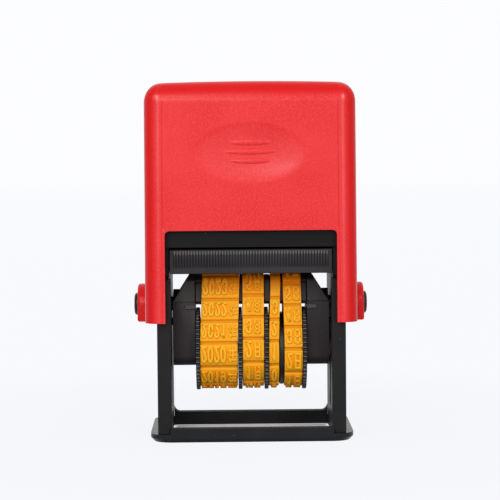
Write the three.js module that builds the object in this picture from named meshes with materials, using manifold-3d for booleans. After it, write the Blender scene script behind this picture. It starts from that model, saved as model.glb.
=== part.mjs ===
// Hand-held self-inking date stamp. A red press cap slides down a black frame and turns the date
// unit half over, from the ink pad above it to the paper below.
// Millimetres. +Z is up, +X to the user's right, +Y away from the user.
// The origin is the middle of the foot's underside.

import * as THREE from 'three';
import { mergeVertices } from 'three/addons/utils/BufferGeometryUtils.js';
import Module from 'manifold-3d';

// Type and bands
const bandCells = 13;
const yearBandWidth = 10.2;
const monthBandWidth = 5.8;
const tensBandWidth = 2.7;
const onesBandWidth = 4.9;
const bandBase = 0.9;
const cellHeight = 0.7;
const typeHeight = 0.6;
const cellGroove = 0.5;
const bandFit = 0.2; // between a band and the wheel or platen that it runs on
const bandSideFit = 0.1; // between a band and what is beside it

// Setting wheels
const hubRadius = 8.5;
const flangeRim = 0.45; // how far a flange stands above the type
const flangeThickness = 1.05;
const discThickness = 1.2; // plain disc between the two day bands
const discRadius = 10.0;
const wheelFit = 0.1; // between neighbouring wheels
const wheelTeeth = 66;
const toothDepth = 0.4;
const shaftRadius = 1.5;
const shaftFit = 0.25;
const shaftHeadRim = 1.0;
const shaftHeadThickness = 0.9;
const shaftHeadFit = 0.3;

// Date unit
const printRadius = 9.1; // pivot axis to the faces of the type
const wheelSlit = 1.15; // open slit between the pivot axis and the tops of the wheels
const platenHalfDepth = 5.0;
const platenRound = 1.4;
const platenShoulder = 0.9; // how far the shoulders stay below the type
const platenSkirtDepth = 7.0;
const platenShoulderDepth = 6.0;
const platenRecess = 1.5; // the block stands back beside the bands, before its shoulders
const platenChamferRun = 4.5;
const platenLedge = 0.1; // gap between the arms' tops and the platen block
const armRise = 0.9; // arms' tops above the pivot axis
const dividerInset = 0.9; // divider's top below the shoulders
const armWidth = 6.1;
const armHalfDepth = 6.8;
const armEndDrop = 4.15; // below the wheel shaft
const armEndRound = 3.0;
const armFit = 0.15; // between the wheel stack and the arms
const barRadius = 4.0;
const barFit = 0.3;
const catchLength = 3.0;
const catchHeight = 1.1;
const catchDepth = 0.6;
const catchDrop = 1.2;
const pinRadius = 2.0;
const pinFit = 0.25;
const pinDepth = 4.2; // how far a pivot pin reaches into an arm
const pinHeadRadius = 3.05;
const pinHeadThickness = 0.95;
const pinHeadFit = 0.05;

// Press stroke and flip cam
const stroke = 26.85;
const followerOffset = 5.0; // pivot axis to the cam follower
const followerRadius = 1.1;
const followerLength = 1.7;
const followerFit = 0.3;

// Frame
const frameFit = 0.65; // between the date unit and the frame's walls
const frameWall = 3.3;
const frameHalfDepth = 15.6;
const flangeDepth = 3.7; // front and rear flanges of a side wall
const sidePanelInset = 0.9;
const sidePanelRound = 1.5;
const camGrooveDepth = 1.4;
const headHeight = 13.9;
const headFloor = 1.5;
const headWall = 1.8;
const springRingWall = 1.2;
const springRingHeight = 6.0;
const headRibWidth = 1.4;
const headRibHeight = 4.0;
const railDepth = 1.1; // rails that run in the pad tray's grooves
const railThickness = 1.2;
const railRise = 2.2; // above the tray's underside
const fingerNotch = 2.0; // the walls step back beside the tray's front
const notchDrop = 1.1; // the notch goes this far below the tray
const rearStop = 2.2;
const pegRadius = 1.0;
const pegLength = 1.5;
const pegFit = 0.3;
const pegInset = 5.6; // from the wall's front or rear edge to a peg

// Foot
const lipHeight = 2.1;
const footBarHeight = 3.7;
const footBarDepth = 3.0;
const footBarFillet = 1.7; // where the rear bar runs up to the frame's walls
const footEdge = 1.4; // foot outside the frame, front and rear
const footSideEdge = 2.1; // foot outside the frame, left and right
const footCorner = 5.0;
const footUnderRound = 1.0;
const footOpeningRound = 1.5;
const footFit = 0.1;

// Ink cassette
const padFit = 0.05; // type to pad at rest
const trayHeight = 6.5;
const traySideFit = 0.3;
const trayRailFit = 0.2;
const trayHeadroom = 0.6;
const trayWall = 1.8;
const trayRoof = 1.4;
const trayFrontWall = 2.4;
const trayFrontInset = 0.1;
const trayRearFit = 0.3;
const trayRibs = 70;
const trayRibDepth = 0.3;
const traySmoothBand = 1.6;
const trayTopEdge = 0.2;
const padSideFit = 0.3;
const padThickness = 4.6;

// Press cap
const capSideFit = 0.8;
const capEndFit = 0.8;
const capWall = 2.2;
const capTopWall = 2.5;
const capTopFit = 0.9; // left above the frame's head at the end of the stroke
const capFootFit = 1.55; // left above the foot's bars at the end of the stroke
const capDraft = 0.24;
const capCorner = 3.6;
const capInnerCorner = 1.4;
const capTopRoundWide = 4.4;
const capTopRoundHigh = 5.2;
const capTopRoundDeep = 4.2;
const capInnerRound = 1.8;
const capArch = 0.5; // rise of the roof from its left and right ends to its middle
const windowMargin = 0.9; // cap window outside the frame's inner walls
const windowAboveHead = 4.55; // cap window's top above the head's underside
const windowRound = 1.3;
const bossRadius = 5.6;
const bossHeight = 2.75; // out from the cap's side
const bossBevel = 0.7;
const bossDrop = 0.6; // boss's underside below the leg's end
const dishHalfWidth = 14.9;
const dishHalfHeight = 8.0;
const dishDepth = 1.0;
const dishBulge = 3.0; // depth half-axis of the ellipsoid that makes the dish
const dishBelowTop = 19.0;
const gripRibLength = 6.7;
const gripRibHeight = 0.62;
const gripRibRise = 0.5;
const gripRibPitch = 1.6;
const gripRibs = 4;
const postWall = 1.6;
const postLength = 7.0;

// Return spring
const springWire = 1.0;
const springRadius = 5.5; // to the middle of the wire
const springTurns = 9;
const springFit = 0.1;
const springRingFit = 0.4;
const postFit = 0.4;

// One overrun for every cut, and how finely round forms are divided
const overrun = 1.0;
const weldGap = 1e-5; // vertices closer than this are one
const roundSides = 24;
const holeSides = 16;

// Sizes that follow from the ones above, from the inside out
const typeRise = bandBase + cellHeight + typeHeight;
const flangeRadius = hubRadius + bandFit + typeRise + flangeRim;
const wheelDrop = flangeRadius + wheelSlit;
const axleHeight = printRadius + stroke;
const wheelSpecs = [
  { name: 'year', band: yearBandWidth, left: flangeThickness, right: 0, leftToothed: true, phaseShare: 0.18 },
  { name: 'month', band: monthBandWidth, left: flangeThickness, right: 0, leftToothed: true, phaseShare: 0 },
  { name: 'tens', band: tensBandWidth, left: flangeThickness, right: 0, leftToothed: true, phaseShare: 0.08 },
  { name: 'ones', band: onesBandWidth, left: discThickness, right: flangeThickness, leftToothed: false, phaseShare: 0.42 },
];
const wheelLength = (spec) => spec.left + spec.band + 2 * bandSideFit + spec.right;
const stackLength = wheelSpecs.reduce((sum, spec) => sum + wheelLength(spec) + wheelFit, -wheelFit);
const armInner = stackLength / 2 + armFit;
const bracketHalf = armInner + armWidth;
const frameInner = bracketHalf + frameFit;
const frameOuter = frameInner + frameWall;
const padFace = axleHeight + printRadius + padFit;
const trayBottom = padFace - padFit;
const trayFront = -frameHalfDepth + trayFrontInset + trayRibDepth;
const trayRear = frameHalfDepth - rearStop - trayRearFit;
const headBottom = trayBottom + trayHeight + trayHeadroom;
const headTop = headBottom + headHeight;
const springSeat = headBottom + headFloor;
const capInnerTop = headTop + stroke + capTopFit;
const capTop = capInnerTop + capTopWall;
const legBottom = stroke + footBarHeight + capFootFit;
const capInnerHalf = frameOuter + capSideFit;
const capHalf = capInnerHalf + capWall;
const capInnerDepth = frameHalfDepth + capEndFit;
const capHalfDepth = capInnerDepth + capWall;
const bossOuter = capHalf + bossHeight;
const footHalfDepth = frameHalfDepth + footEdge;
const footHalf = frameOuter + footSideEdge;
const springLength = capInnerTop - springSeat;

const wasm = await Module();
wasm.setup();

// A closed three.js geometry as a solid that can be joined and cut.
function solid(geometry) {
  const bare = geometry.clone();
  bare.deleteAttribute('normal');
  bare.deleteAttribute('uv');
  const merged = mergeVertices(bare, weldGap);
  return new wasm.Manifold(new wasm.Mesh({
    numProp: 3,
    vertProperties: new Float32Array(merged.attributes.position.array),
    triVerts: new Uint32Array(merged.index.array),
  }));
}

// A joined or cut solid as a three.js geometry again.
function geometryOf(manifold) {
  const mesh = manifold.getMesh();
  const geometry = new THREE.BufferGeometry();
  geometry.setAttribute('position', new THREE.BufferAttribute(new Float32Array(mesh.vertProperties), 3));
  geometry.setIndex(new THREE.BufferAttribute(new Uint32Array(mesh.triVerts), 1));
  geometry.computeVertexNormals();
  return geometry;
}

const join = (...solids) => solids.reduce((sum, next) => sum.add(next));
const cut = (body, ...tools) => tools.reduce((rest, tool) => rest.subtract(tool), body);

// A shape drawn in (y, z), extruded from xLow to xHigh.
function alongX(shape, xLow, xHigh, options = {}) {
  const geometry = new THREE.ExtrudeGeometry(shape, { depth: xHigh - xLow, bevelEnabled: false, curveSegments: 8, ...options });
  const turn = new THREE.Matrix4().makeBasis(
    new THREE.Vector3(0, 1, 0), new THREE.Vector3(0, 0, 1), new THREE.Vector3(1, 0, 0));
  return geometry.applyMatrix4(turn).translate(xLow, 0, 0);
}

// A shape drawn in (x, z), extruded from yLow to yHigh.
function alongY(shape, yLow, yHigh) {
  const geometry = new THREE.ExtrudeGeometry(shape, { depth: yHigh - yLow, bevelEnabled: false, curveSegments: 6 });
  return geometry.rotateX(Math.PI / 2).translate(0, yHigh, 0);
}

// A shape drawn in (x, y), extruded from zLow to zHigh.
function alongZ(shape, zLow, zHigh) {
  const geometry = new THREE.ExtrudeGeometry(shape, { depth: zHigh - zLow, bevelEnabled: false, curveSegments: 5 });
  return geometry.translate(0, 0, zLow);
}

function box(xLow, xHigh, yLow, yHigh, zLow, zHigh) {
  const geometry = new THREE.BoxGeometry(xHigh - xLow, yHigh - yLow, zHigh - zLow);
  return geometry.translate((xLow + xHigh) / 2, (yLow + yHigh) / 2, (zLow + zHigh) / 2);
}

// A round bar along X, centred on the height z.
function barX(radius, xLow, xHigh, z = 0, sides = holeSides) {
  const geometry = new THREE.CylinderGeometry(radius, radius, xHigh - xLow, sides);
  return geometry.rotateZ(-Math.PI / 2).translate((xLow + xHigh) / 2, 0, z);
}

function barZ(radius, x, y, zLow, zHigh, sides = holeSides) {
  const geometry = new THREE.CylinderGeometry(radius, radius, zHigh - zLow, sides);
  return geometry.rotateX(Math.PI / 2).translate(x, y, (zLow + zHigh) / 2);
}

// The points of a rectangle with round corners, anticlockwise from the front of the right-hand side.
// The straight front and rear are divided into straightSteps.
function roundedRing(halfX, halfY, radius, cornerSteps, straightSteps = 1) {
  const points = [];
  const corners = [[1, -1, -90], [1, 1, 0], [-1, 1, 90], [-1, -1, 180]];
  for (const [sideX, sideY, startDegrees] of corners) {
    for (let step = 0; step <= cornerSteps; step += 1) {
      const angle = THREE.MathUtils.degToRad(startDegrees + 90 * step / cornerSteps);
      points.push(new THREE.Vector2(
        sideX * (halfX - radius) + radius * Math.cos(angle),
        sideY * (halfY - radius) + radius * Math.sin(angle)));
    }
    if (sideX !== sideY) continue;
    for (let step = 1; step < straightSteps; step += 1) {
      points.push(new THREE.Vector2(sideX * (halfX - radius) * (1 - 2 * step / straightSteps), sideY * halfY));
    }
  }
  return points;
}

// A closed skin through rings of equal count, each at its own height, with a point closing each end.
function loft(rings) {
  const count = rings[0].points.length;
  const positions = [];
  const index = [];
  for (const ring of rings) {
    for (const point of ring.points) positions.push(point.x, point.y, ring.z);
  }
  for (let row = 0; row < rings.length - 1; row += 1) {
    for (let k = 0; k < count; k += 1) {
      const a = row * count + k;
      const b = row * count + (k + 1) % count;
      index.push(a, b, b + count, a, b + count, a + count);
    }
  }
  const bottom = positions.length / 3;
  positions.push(0, 0, rings[0].z);
  const top = bottom + 1;
  const last = (rings.length - 1) * count;
  positions.push(0, 0, rings[rings.length - 1].z);
  for (let k = 0; k < count; k += 1) {
    const next = (k + 1) % count;
    index.push(bottom, next, k);
    index.push(top, last + k, last + next);
  }
  const geometry = new THREE.BufferGeometry();
  geometry.setAttribute('position', new THREE.Float32BufferAttribute(positions, 3));
  geometry.setIndex(index);
  return geometry;
}

// A round-ended groove outline of the given half-width along a path of (y, z) points.
function grooveShape(path, halfWidth) {
  const sides = [[], []];
  const clearOfPath = (point) => path.every((other) => point.distanceTo(other) > halfWidth * 0.97);
  path.forEach((point, k) => {
    const ahead = path[Math.min(k + 1, path.length - 1)];
    const behind = path[Math.max(k - 1, 0)];
    const along = ahead.clone().sub(behind).normalize();
    const across = new THREE.Vector2(-along.y, along.x).multiplyScalar(halfWidth);
    sides[0].push(point.clone().sub(across));
    sides[1].push(point.clone().add(across));
  });
  const endCap = (centre, from) => {
    const start = from.clone().sub(centre).angle();
    return [0.25, 0.5, 0.75].map((share) => new THREE.Vector2(
      centre.x + halfWidth * Math.cos(start + Math.PI * share),
      centre.y + halfWidth * Math.sin(start + Math.PI * share)));
  };
  const last = path.length - 1;
  return new THREE.Shape([
    ...sides[0].filter((point, k) => k === 0 || k === last || clearOfPath(point)),
    ...endCap(path[last], sides[0][last]),
    ...sides[1].filter((point, k) => k === 0 || k === last || clearOfPath(point)).reverse(),
    ...endCap(path[0], sides[1][0]),
  ]);
}

// The loop of a band, in (y, z) about the pivot axis: an arc round the wheel, two straight runs and
// the platen's two corners and flat top. placeAt gives the point at a distance along it from the
// middle of the top, running down the front, moved outwards by the offset.
function bandLoop() {
  const wheelR = hubRadius + bandFit;
  const cornerR = platenRound + bandFit;
  const cornerY = platenHalfDepth - platenRound;
  const cornerZ = printRadius - typeRise - bandFit - platenRound;
  const reach = Math.hypot(cornerY, cornerZ + wheelDrop);
  const lean = Math.atan2(cornerY, cornerZ + wheelDrop) + Math.acos((wheelR - cornerR) / reach);
  const run = Math.sqrt(reach * reach - (wheelR - cornerR) ** 2);
  const corner = cornerR * lean;
  const wheel = wheelR * (Math.PI - lean);
  const half = cornerY + corner + run + wheel;
  const placeHalf = (distance, offset) => {
    if (distance < cornerY) return [distance, cornerZ + cornerR + offset];
    if (distance < cornerY + corner) {
      const angle = (distance - cornerY) / cornerR;
      return [cornerY + (cornerR + offset) * Math.sin(angle), cornerZ + (cornerR + offset) * Math.cos(angle)];
    }
    if (distance < cornerY + corner + run) {
      const along = distance - cornerY - corner;
      return [
        cornerY + (cornerR + offset) * Math.sin(lean) + along * Math.cos(lean),
        cornerZ + (cornerR + offset) * Math.cos(lean) - along * Math.sin(lean)];
    }
    const angle = lean + (distance - cornerY - corner - run) / wheelR;
    return [(wheelR + offset) * Math.sin(angle), -wheelDrop + (wheelR + offset) * Math.cos(angle)];
  };
  const placeAt = (distance, offset) => {
    const wrapped = ((distance % (2 * half)) + 2 * half) % (2 * half);
    const front = wrapped <= half;
    const [y, z] = placeHalf(front ? wrapped : 2 * half - wrapped, offset);
    return new THREE.Vector2(front ? -y : y, z);
  };
  return { length: 2 * half, placeAt, lean, cornerY, cornerZ };
}

const darkPlastic = { color: 0x1f1d1f, roughness: 0.45, metalness: 0 };
const finishes = {
  capRed: { color: 0xe23236, roughness: 0.42, metalness: 0 },
  frameBlack: darkPlastic,
  footBlack: { ...darkPlastic, roughness: 0.4 },
  trayBlack: { ...darkPlastic, color: 0x2b2a2e, roughness: 0.55 },
  unitBlack: { ...darkPlastic, color: 0x241e1f, roughness: 0.5 },
  wheelBlack: { ...darkPlastic, color: 0x18171a },
  bandOrange: { color: 0xf7a01c, roughness: 0.55, metalness: 0 },
  padFelt: { color: 0x14141c, roughness: 0.95, metalness: 0 },
  steel: { color: 0xb8babd, roughness: 0.3, metalness: 1 },
};

function piece(name, geometry, finish) {
  const mesh = new THREE.Mesh(geometry, new THREE.MeshStandardMaterial(finishes[finish]));
  mesh.name = name;
  return mesh;
}

// Press cap: a drafted shell with a softly arched top, open below, with a window front and rear
// between its legs, a dish with grip ribs in each broad face, and a boss round each pivot pin.
function pressCap() {
  const edgeZ = capTop - capArch;
  const roundStart = edgeZ - capTopRoundHigh;
  const roundSteps = 5;
  const archSteps = 8;
  const rings = [
    { z: legBottom, points: roundedRing(capHalf + capDraft / 2, capHalfDepth + capDraft / 2, capCorner, 4, archSteps) },
    { z: roundStart, points: roundedRing(capHalf - capDraft / 2, capHalfDepth - capDraft / 2, capCorner, 4, archSteps) },
  ];
  for (let step = 1; step <= roundSteps; step += 1) {
    const angle = Math.PI / 2 * step / roundSteps;
    const insetX = capTopRoundWide * (1 - Math.cos(angle));
    const insetY = capTopRoundDeep * (1 - Math.cos(angle));
    rings.push({
      z: edgeZ - capTopRoundHigh * (1 - Math.sin(angle)),
      points: roundedRing(
        capHalf - capDraft / 2 - insetX, capHalfDepth - capDraft / 2 - insetY,
        capCorner * (1 - 0.6 * step / roundSteps), 4, archSteps),
    });
  }
  for (const share of [0.66, 0.33]) {
    rings.push({
      z: edgeZ,
      points: rings[1 + roundSteps].points.map((point) => point.clone().multiplyScalar(share)),
    });
  }
  const skin = loft(rings);
  const places = skin.attributes.position;
  for (let k = 0; k < places.count; k += 1) {
    const riseShare = Math.max(0, (places.getZ(k) - roundStart) / capTopRoundHigh);
    places.setZ(k, places.getZ(k) + capArch * riseShare * (1 - (places.getX(k) / capHalf) ** 2));
  }
  const cavity = [
    { z: legBottom - overrun, points: roundedRing(capInnerHalf, capInnerDepth, capInnerCorner, 3) },
    { z: capInnerTop - capInnerRound, points: roundedRing(capInnerHalf, capInnerDepth, capInnerCorner, 3) },
  ];
  for (const degrees of [45, 90]) {
    const angle = THREE.MathUtils.degToRad(degrees);
    const inset = capInnerRound * (1 - Math.cos(angle));
    cavity.push({
      z: capInnerTop - capInnerRound * (1 - Math.sin(angle)),
      points: roundedRing(capInnerHalf - inset, capInnerDepth - inset, capInnerCorner, 3),
    });
  }
  const windowHalf = frameInner + windowMargin;
  const windowTop = headBottom + windowAboveHead;
  const window = new THREE.Shape();
  window.moveTo(-windowHalf, legBottom - overrun);
  window.lineTo(windowHalf, legBottom - overrun);
  window.lineTo(windowHalf, windowTop - windowRound);
  window.absarc(windowHalf - windowRound, windowTop - windowRound, windowRound, 0, Math.PI / 2);
  window.absarc(-windowHalf + windowRound, windowTop - windowRound, windowRound, Math.PI / 2, Math.PI);

  const boss = new THREE.Shape();
  boss.moveTo(-bossRadius, legBottom - bossDrop);
  boss.lineTo(bossRadius, legBottom - bossDrop);
  boss.absarc(0, axleHeight, bossRadius, 0, Math.PI);
  const bossStart = capInnerHalf + capWall / 4 + bossBevel;
  const bossBody = solid(alongX(boss, bossStart, bossOuter - bossBevel, {
    bevelEnabled: true, bevelThickness: bossBevel, bevelSize: bossBevel, bevelOffset: -bossBevel,
    bevelSegments: 2, curveSegments: 12,
  }));

  const shell = cut(solid(skin), solid(loft(cavity)), solid(alongY(window, -capHalfDepth - overrun, capHalfDepth + overrun)));
  const post = cut(
    solid(barZ(springRadius - springWire / 2 - postFit, 0, 0, capInnerTop - postLength, capInnerTop + capTopWall / 2)),
    solid(barZ(springRadius - springWire / 2 - postFit - postWall, 0, 0, capInnerTop - postLength - overrun, capInnerTop - capTopWall / 2)));

  // Each dish is the end of an ellipsoid whose middle stands outside the face.
  const rimShare = Math.sqrt(1 - ((dishBulge - dishDepth) / dishBulge) ** 2);
  const dishZ = capTop - dishBelowTop;
  const dishes = [];
  const ribs = [];
  for (const side of [-1, 1]) {
    const face = side * (capHalfDepth - capDraft / 4);
    const dish = new THREE.SphereGeometry(1, 28, 18);
    dish.scale(dishHalfWidth / rimShare, dishBulge, dishHalfHeight / rimShare);
    dish.translate(0, face + side * (dishBulge - dishDepth), dishZ);
    dishes.push(solid(dish));
    for (let k = 0; k < gripRibs; k += 1) {
      const offset = (k - (gripRibs - 1) / 2) * gripRibPitch;
      const shorter = 1 - 0.25 * (offset / gripRibPitch / gripRibs * 2) ** 2;
      const rib = new THREE.SphereGeometry(1, 10, 6);
      rib.scale(gripRibLength * shorter, gripRibRise, gripRibHeight);
      rib.translate(0, face - side * (dishDepth - gripRibRise * Math.abs(offset) / dishHalfHeight), dishZ + offset);
      ribs.push(solid(rib));
    }
  }
  const bore = solid(barX(pinRadius + pinFit, -bossOuter - overrun, bossOuter + overrun, axleHeight));
  const body = join(cut(shell, ...dishes), post, bossBody, bossBody.mirror([1, 0, 0]), ...ribs);
  return piece('press_cap', geometryOf(cut(body, bore)), 'capRed');
}

// Frame: two side walls with flanges, joined by an open-topped head. Each wall has the slot that the
// pivot pin runs in and, on its inner face, the flip cam. The follower stays at a fixed distance
// from the pivot axis while the axis drops, so the cam's path is (offset sin a, -drop - offset cos a)
// with the turn a in step with the drop.
function flipCamPath() {
  const points = [];
  const steps = 20;
  for (let step = 0; step <= steps; step += 1) {
    const turn = Math.PI * step / steps;
    points.push(new THREE.Vector2(
      followerOffset * Math.sin(turn),
      axleHeight - stroke * step / steps - followerOffset * Math.cos(turn)));
  }
  return points;
}

function frame() {
  const outline = new THREE.Shape();
  const notchBottom = trayBottom - notchDrop;
  outline.moveTo(-frameHalfDepth, lipHeight);
  outline.lineTo(frameHalfDepth, lipHeight);
  outline.lineTo(frameHalfDepth, headBottom + headFloor);
  outline.lineTo(-frameHalfDepth, headBottom + headFloor);
  outline.lineTo(-frameHalfDepth, headBottom);
  outline.lineTo(-frameHalfDepth + fingerNotch, headBottom);
  outline.lineTo(-frameHalfDepth + fingerNotch, notchBottom + fingerNotch / 4);
  outline.quadraticCurveTo(
    -frameHalfDepth + fingerNotch / 2, notchBottom, -frameHalfDepth, notchBottom - fingerNotch / 4);
  const panel = new THREE.Shape(roundedRing(
    frameHalfDepth - flangeDepth, (headBottom - lipHeight) / 2 - flangeDepth, sidePanelRound, 3));
  const panelMiddle = (headBottom + lipHeight) / 2;
  const slot = grooveShape(
    [new THREE.Vector2(0, axleHeight - stroke), new THREE.Vector2(0, axleHeight)], pinRadius + pinFit);
  const wall = cut(
    solid(alongX(outline, frameInner, frameOuter)),
    solid(alongX(panel, frameOuter - sidePanelInset, frameOuter + overrun).translate(0, 0, panelMiddle)),
    solid(alongX(slot, frameInner - overrun, frameOuter + overrun)),
    solid(alongX(grooveShape(flipCamPath(), followerRadius + followerFit), frameInner - overrun, frameInner + camGrooveDepth + followerFit)));
  const rail = solid(box(
    frameInner - railDepth, frameInner + frameWall / 2, trayFront + trayFrontWall + trayRailFit, frameHalfDepth - rearStop / 2,
    trayBottom + railRise, trayBottom + railRise + railThickness));
  const pegX = (frameInner + frameOuter) / 2;
  const pegs = [-1, 1].map((side) => solid(barZ(
    pegRadius, pegX, side * (frameHalfDepth - pegInset), lipHeight - pegLength, lipHeight + overrun, 12)));
  const rightSide = join(wall, rail, ...pegs);

  const head = cut(
    solid(box(-frameOuter, frameOuter, -frameHalfDepth, frameHalfDepth, headBottom, headTop)),
    solid(box(
      -frameOuter + headWall, frameOuter - headWall, -frameHalfDepth + headWall, frameHalfDepth - headWall,
      springSeat, headTop + overrun)));
  const stop = solid(box(
    -frameOuter, frameOuter, frameHalfDepth - rearStop, frameHalfDepth, notchBottom, springSeat));
  const ringInner = springRadius + springWire / 2 + springRingFit;
  const ring = cut(
    solid(barZ(ringInner + springRingWall, 0, 0, headBottom + headFloor / 2, springSeat + springRingHeight, roundSides)),
    solid(barZ(ringInner, 0, 0, springSeat, springSeat + springRingHeight + overrun, roundSides)));
  const ribStart = ringInner + springRingWall / 2;
  const ribs = [-1, 1].flatMap((side) => [
    solid(box(
      Math.min(side * ribStart, side * (frameOuter - headWall / 2)), Math.max(side * ribStart, side * (frameOuter - headWall / 2)),
      -headRibWidth / 2, headRibWidth / 2, headBottom + headFloor / 2, springSeat + headRibHeight)),
    solid(box(
      -headRibWidth / 2, headRibWidth / 2,
      Math.min(side * ribStart, side * (frameHalfDepth - headWall / 2)), Math.max(side * ribStart, side * (frameHalfDepth - headWall / 2)),
      headBottom + headFloor / 2, springSeat + headRibHeight)),
  ]);
  return piece('frame', geometryOf(join(head, stop, ring, ...ribs, rightSide, rightSide.mirror([1, 0, 0]))), 'frameBlack');
}

// Foot: a low ring with a rounded underside edge and round corners, with a bar front and rear
// between the frame's walls. The rear bar curves up to the walls at its ends.
function baseFoot() {
  const opening = new THREE.Shape(roundedRing(
    frameInner, footHalfDepth - footBarDepth, footOpeningRound, 3));
  const ring = cut(
    solid(loft([
      { z: 0, points: roundedRing(footHalf - footUnderRound, footHalfDepth - footUnderRound / 2, footCorner - footUnderRound / 2, 5) },
      { z: footUnderRound, points: roundedRing(footHalf, footHalfDepth, footCorner, 5) },
      { z: lipHeight, points: roundedRing(footHalf, footHalfDepth, footCorner, 5) },
    ])),
    solid(alongZ(opening, -overrun, lipHeight + overrun)));
  const barHalf = frameInner - footFit;
  const bars = [-1, 1].map((side) => {
    const near = side * (footHalfDepth - footBarDepth);
    const far = side * footHalfDepth;
    return solid(box(-barHalf, barHalf, Math.min(near, far), Math.max(near, far), lipHeight / 2, footBarHeight));
  });
  const curve = new THREE.Shape();
  curve.moveTo(barHalf, lipHeight);
  curve.lineTo(barHalf, footBarHeight + footBarFillet);
  curve.absarc(barHalf - footBarFillet, footBarHeight + footBarFillet, footBarFillet, 0, -Math.PI / 2, true);
  curve.lineTo(barHalf - footBarFillet, lipHeight);
  const fillet = solid(alongY(curve, footHalfDepth - footBarDepth, footHalfDepth));
  const pegX = (frameInner + frameOuter) / 2;
  const holes = [];
  for (const sideX of [-1, 1]) {
    for (const sideY of [-1, 1]) {
      holes.push(solid(barZ(
        pegRadius + pegFit, sideX * pegX, sideY * (frameHalfDepth - pegInset), -overrun, lipHeight + overrun, 12)));
    }
  }
  return piece('base_foot', geometryOf(cut(join(ring, ...bars, fillet, fillet.mirror([1, 0, 0])), ...holes)), 'footBlack');
}

// Ink cassette: a tray open below, with finely ribbed front and a groove in each side for the frame's
// rails, and the felt pad that it holds.
function inkCassette() {
  const group = new THREE.Group();
  group.position.z = trayBottom;
  const half = frameInner - traySideFit;
  const ribbedHalf = half - trayWall / 2;
  const ribStep = 2 * ribbedHalf / trayRibs;
  const ribbed = new THREE.Shape();
  ribbed.moveTo(ribbedHalf, trayFront + trayFrontWall / 2);
  ribbed.lineTo(-ribbedHalf, trayFront + trayFrontWall / 2);
  ribbed.lineTo(-ribbedHalf, trayFront);
  for (let rib = 0; rib < trayRibs; rib += 1) {
    ribbed.lineTo(-ribbedHalf + (rib + 0.5) * ribStep, trayFront - trayRibDepth);
    ribbed.lineTo(-ribbedHalf + (rib + 1) * ribStep, trayFront);
  }
  const groove = solid(box(
    frameInner - railDepth - trayRailFit, half + overrun, trayFront + trayFrontWall, trayRear + overrun,
    railRise - trayRailFit, railRise + railThickness + trayRailFit));
  const tray = cut(
    join(
      solid(box(-half, half, trayFront, trayRear, 0, trayHeight)),
      solid(alongZ(ribbed, traySmoothBand, trayHeight - trayTopEdge))),
    solid(box(
      -half + trayWall, half - trayWall, trayFront + trayFrontWall, trayRear - trayWall, -overrun, trayHeight - trayRoof)),
    groove, groove.mirror([1, 0, 0]));
  group.add(piece('pad_tray', geometryOf(tray), 'trayBlack'));
  const padInset = trayWall + padSideFit;
  const pad = box(
    -half + padInset, half - padInset, trayFront + trayFrontWall + padSideFit, trayRear - padInset,
    padFit, padFit + padThickness);
  group.add(piece('ink_pad', pad, 'padFelt'));
  return group;
}

// Wheel bracket: two arms that hold the wheel shaft, joined by a D-shaped bar on the pivot axis.
// Each arm has a catch for the platen block front and rear, and the stud that follows the flip cam.
function wheelBracket() {
  const arm = new THREE.Shape();
  const low = -wheelDrop - armEndDrop;
  arm.moveTo(-armHalfDepth, armRise);
  arm.lineTo(-armHalfDepth, low + armEndRound);
  arm.absarc(-armHalfDepth + armEndRound, low + armEndRound, armEndRound, Math.PI, 1.5 * Math.PI);
  arm.absarc(armHalfDepth - armEndRound, low + armEndRound, armEndRound, 1.5 * Math.PI, 2 * Math.PI);
  arm.lineTo(armHalfDepth, armRise);
  const bar = new THREE.Shape();
  bar.moveTo(-barRadius, 0);
  bar.absarc(0, 0, barRadius, Math.PI, 0, true);
  const catchBox = (side) => solid(box(
    armInner, armInner + catchLength, Math.min(side * (armHalfDepth - catchDepth), side * (armHalfDepth + catchDepth)),
    Math.max(side * (armHalfDepth - catchDepth), side * (armHalfDepth + catchDepth)),
    -catchDrop - catchHeight, -catchDrop));
  const rightArm = cut(
    join(
      solid(alongX(arm, armInner, bracketHalf)), catchBox(-1), catchBox(1),
      solid(barX(followerRadius, bracketHalf - armWidth / 2, bracketHalf + followerLength, -followerOffset))),
    solid(barX(shaftRadius + shaftFit, armInner - overrun, bracketHalf + overrun, -wheelDrop)),
    solid(barX(
      shaftRadius + shaftHeadRim + shaftHeadFit, bracketHalf - shaftHeadThickness - shaftHeadFit, bracketHalf + overrun, -wheelDrop, roundSides)));
  const pinHoles = [-1, 1].map((side) => {
    const inner = side * (bracketHalf - pinDepth - pinFit);
    const outer = side * (bracketHalf + overrun);
    return solid(barX(pinRadius + pinFit, Math.min(inner, outer), Math.max(inner, outer)));
  });
  const body = join(rightArm, rightArm.mirror([1, 0, 0]), solid(alongX(bar, -bracketHalf, bracketHalf)));
  return piece('wheel_bracket', geometryOf(cut(body, ...pinHoles)), 'unitBlack');
}

// Where each wheel and band lies along the shaft, from left to right.
function stackPlaces() {
  let x = -stackLength / 2;
  return wheelSpecs.map((spec) => {
    const place = { ...spec, start: x, bandStart: x + spec.left + bandSideFit };
    x += wheelLength(spec) + wheelFit;
    return place;
  });
}

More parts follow.
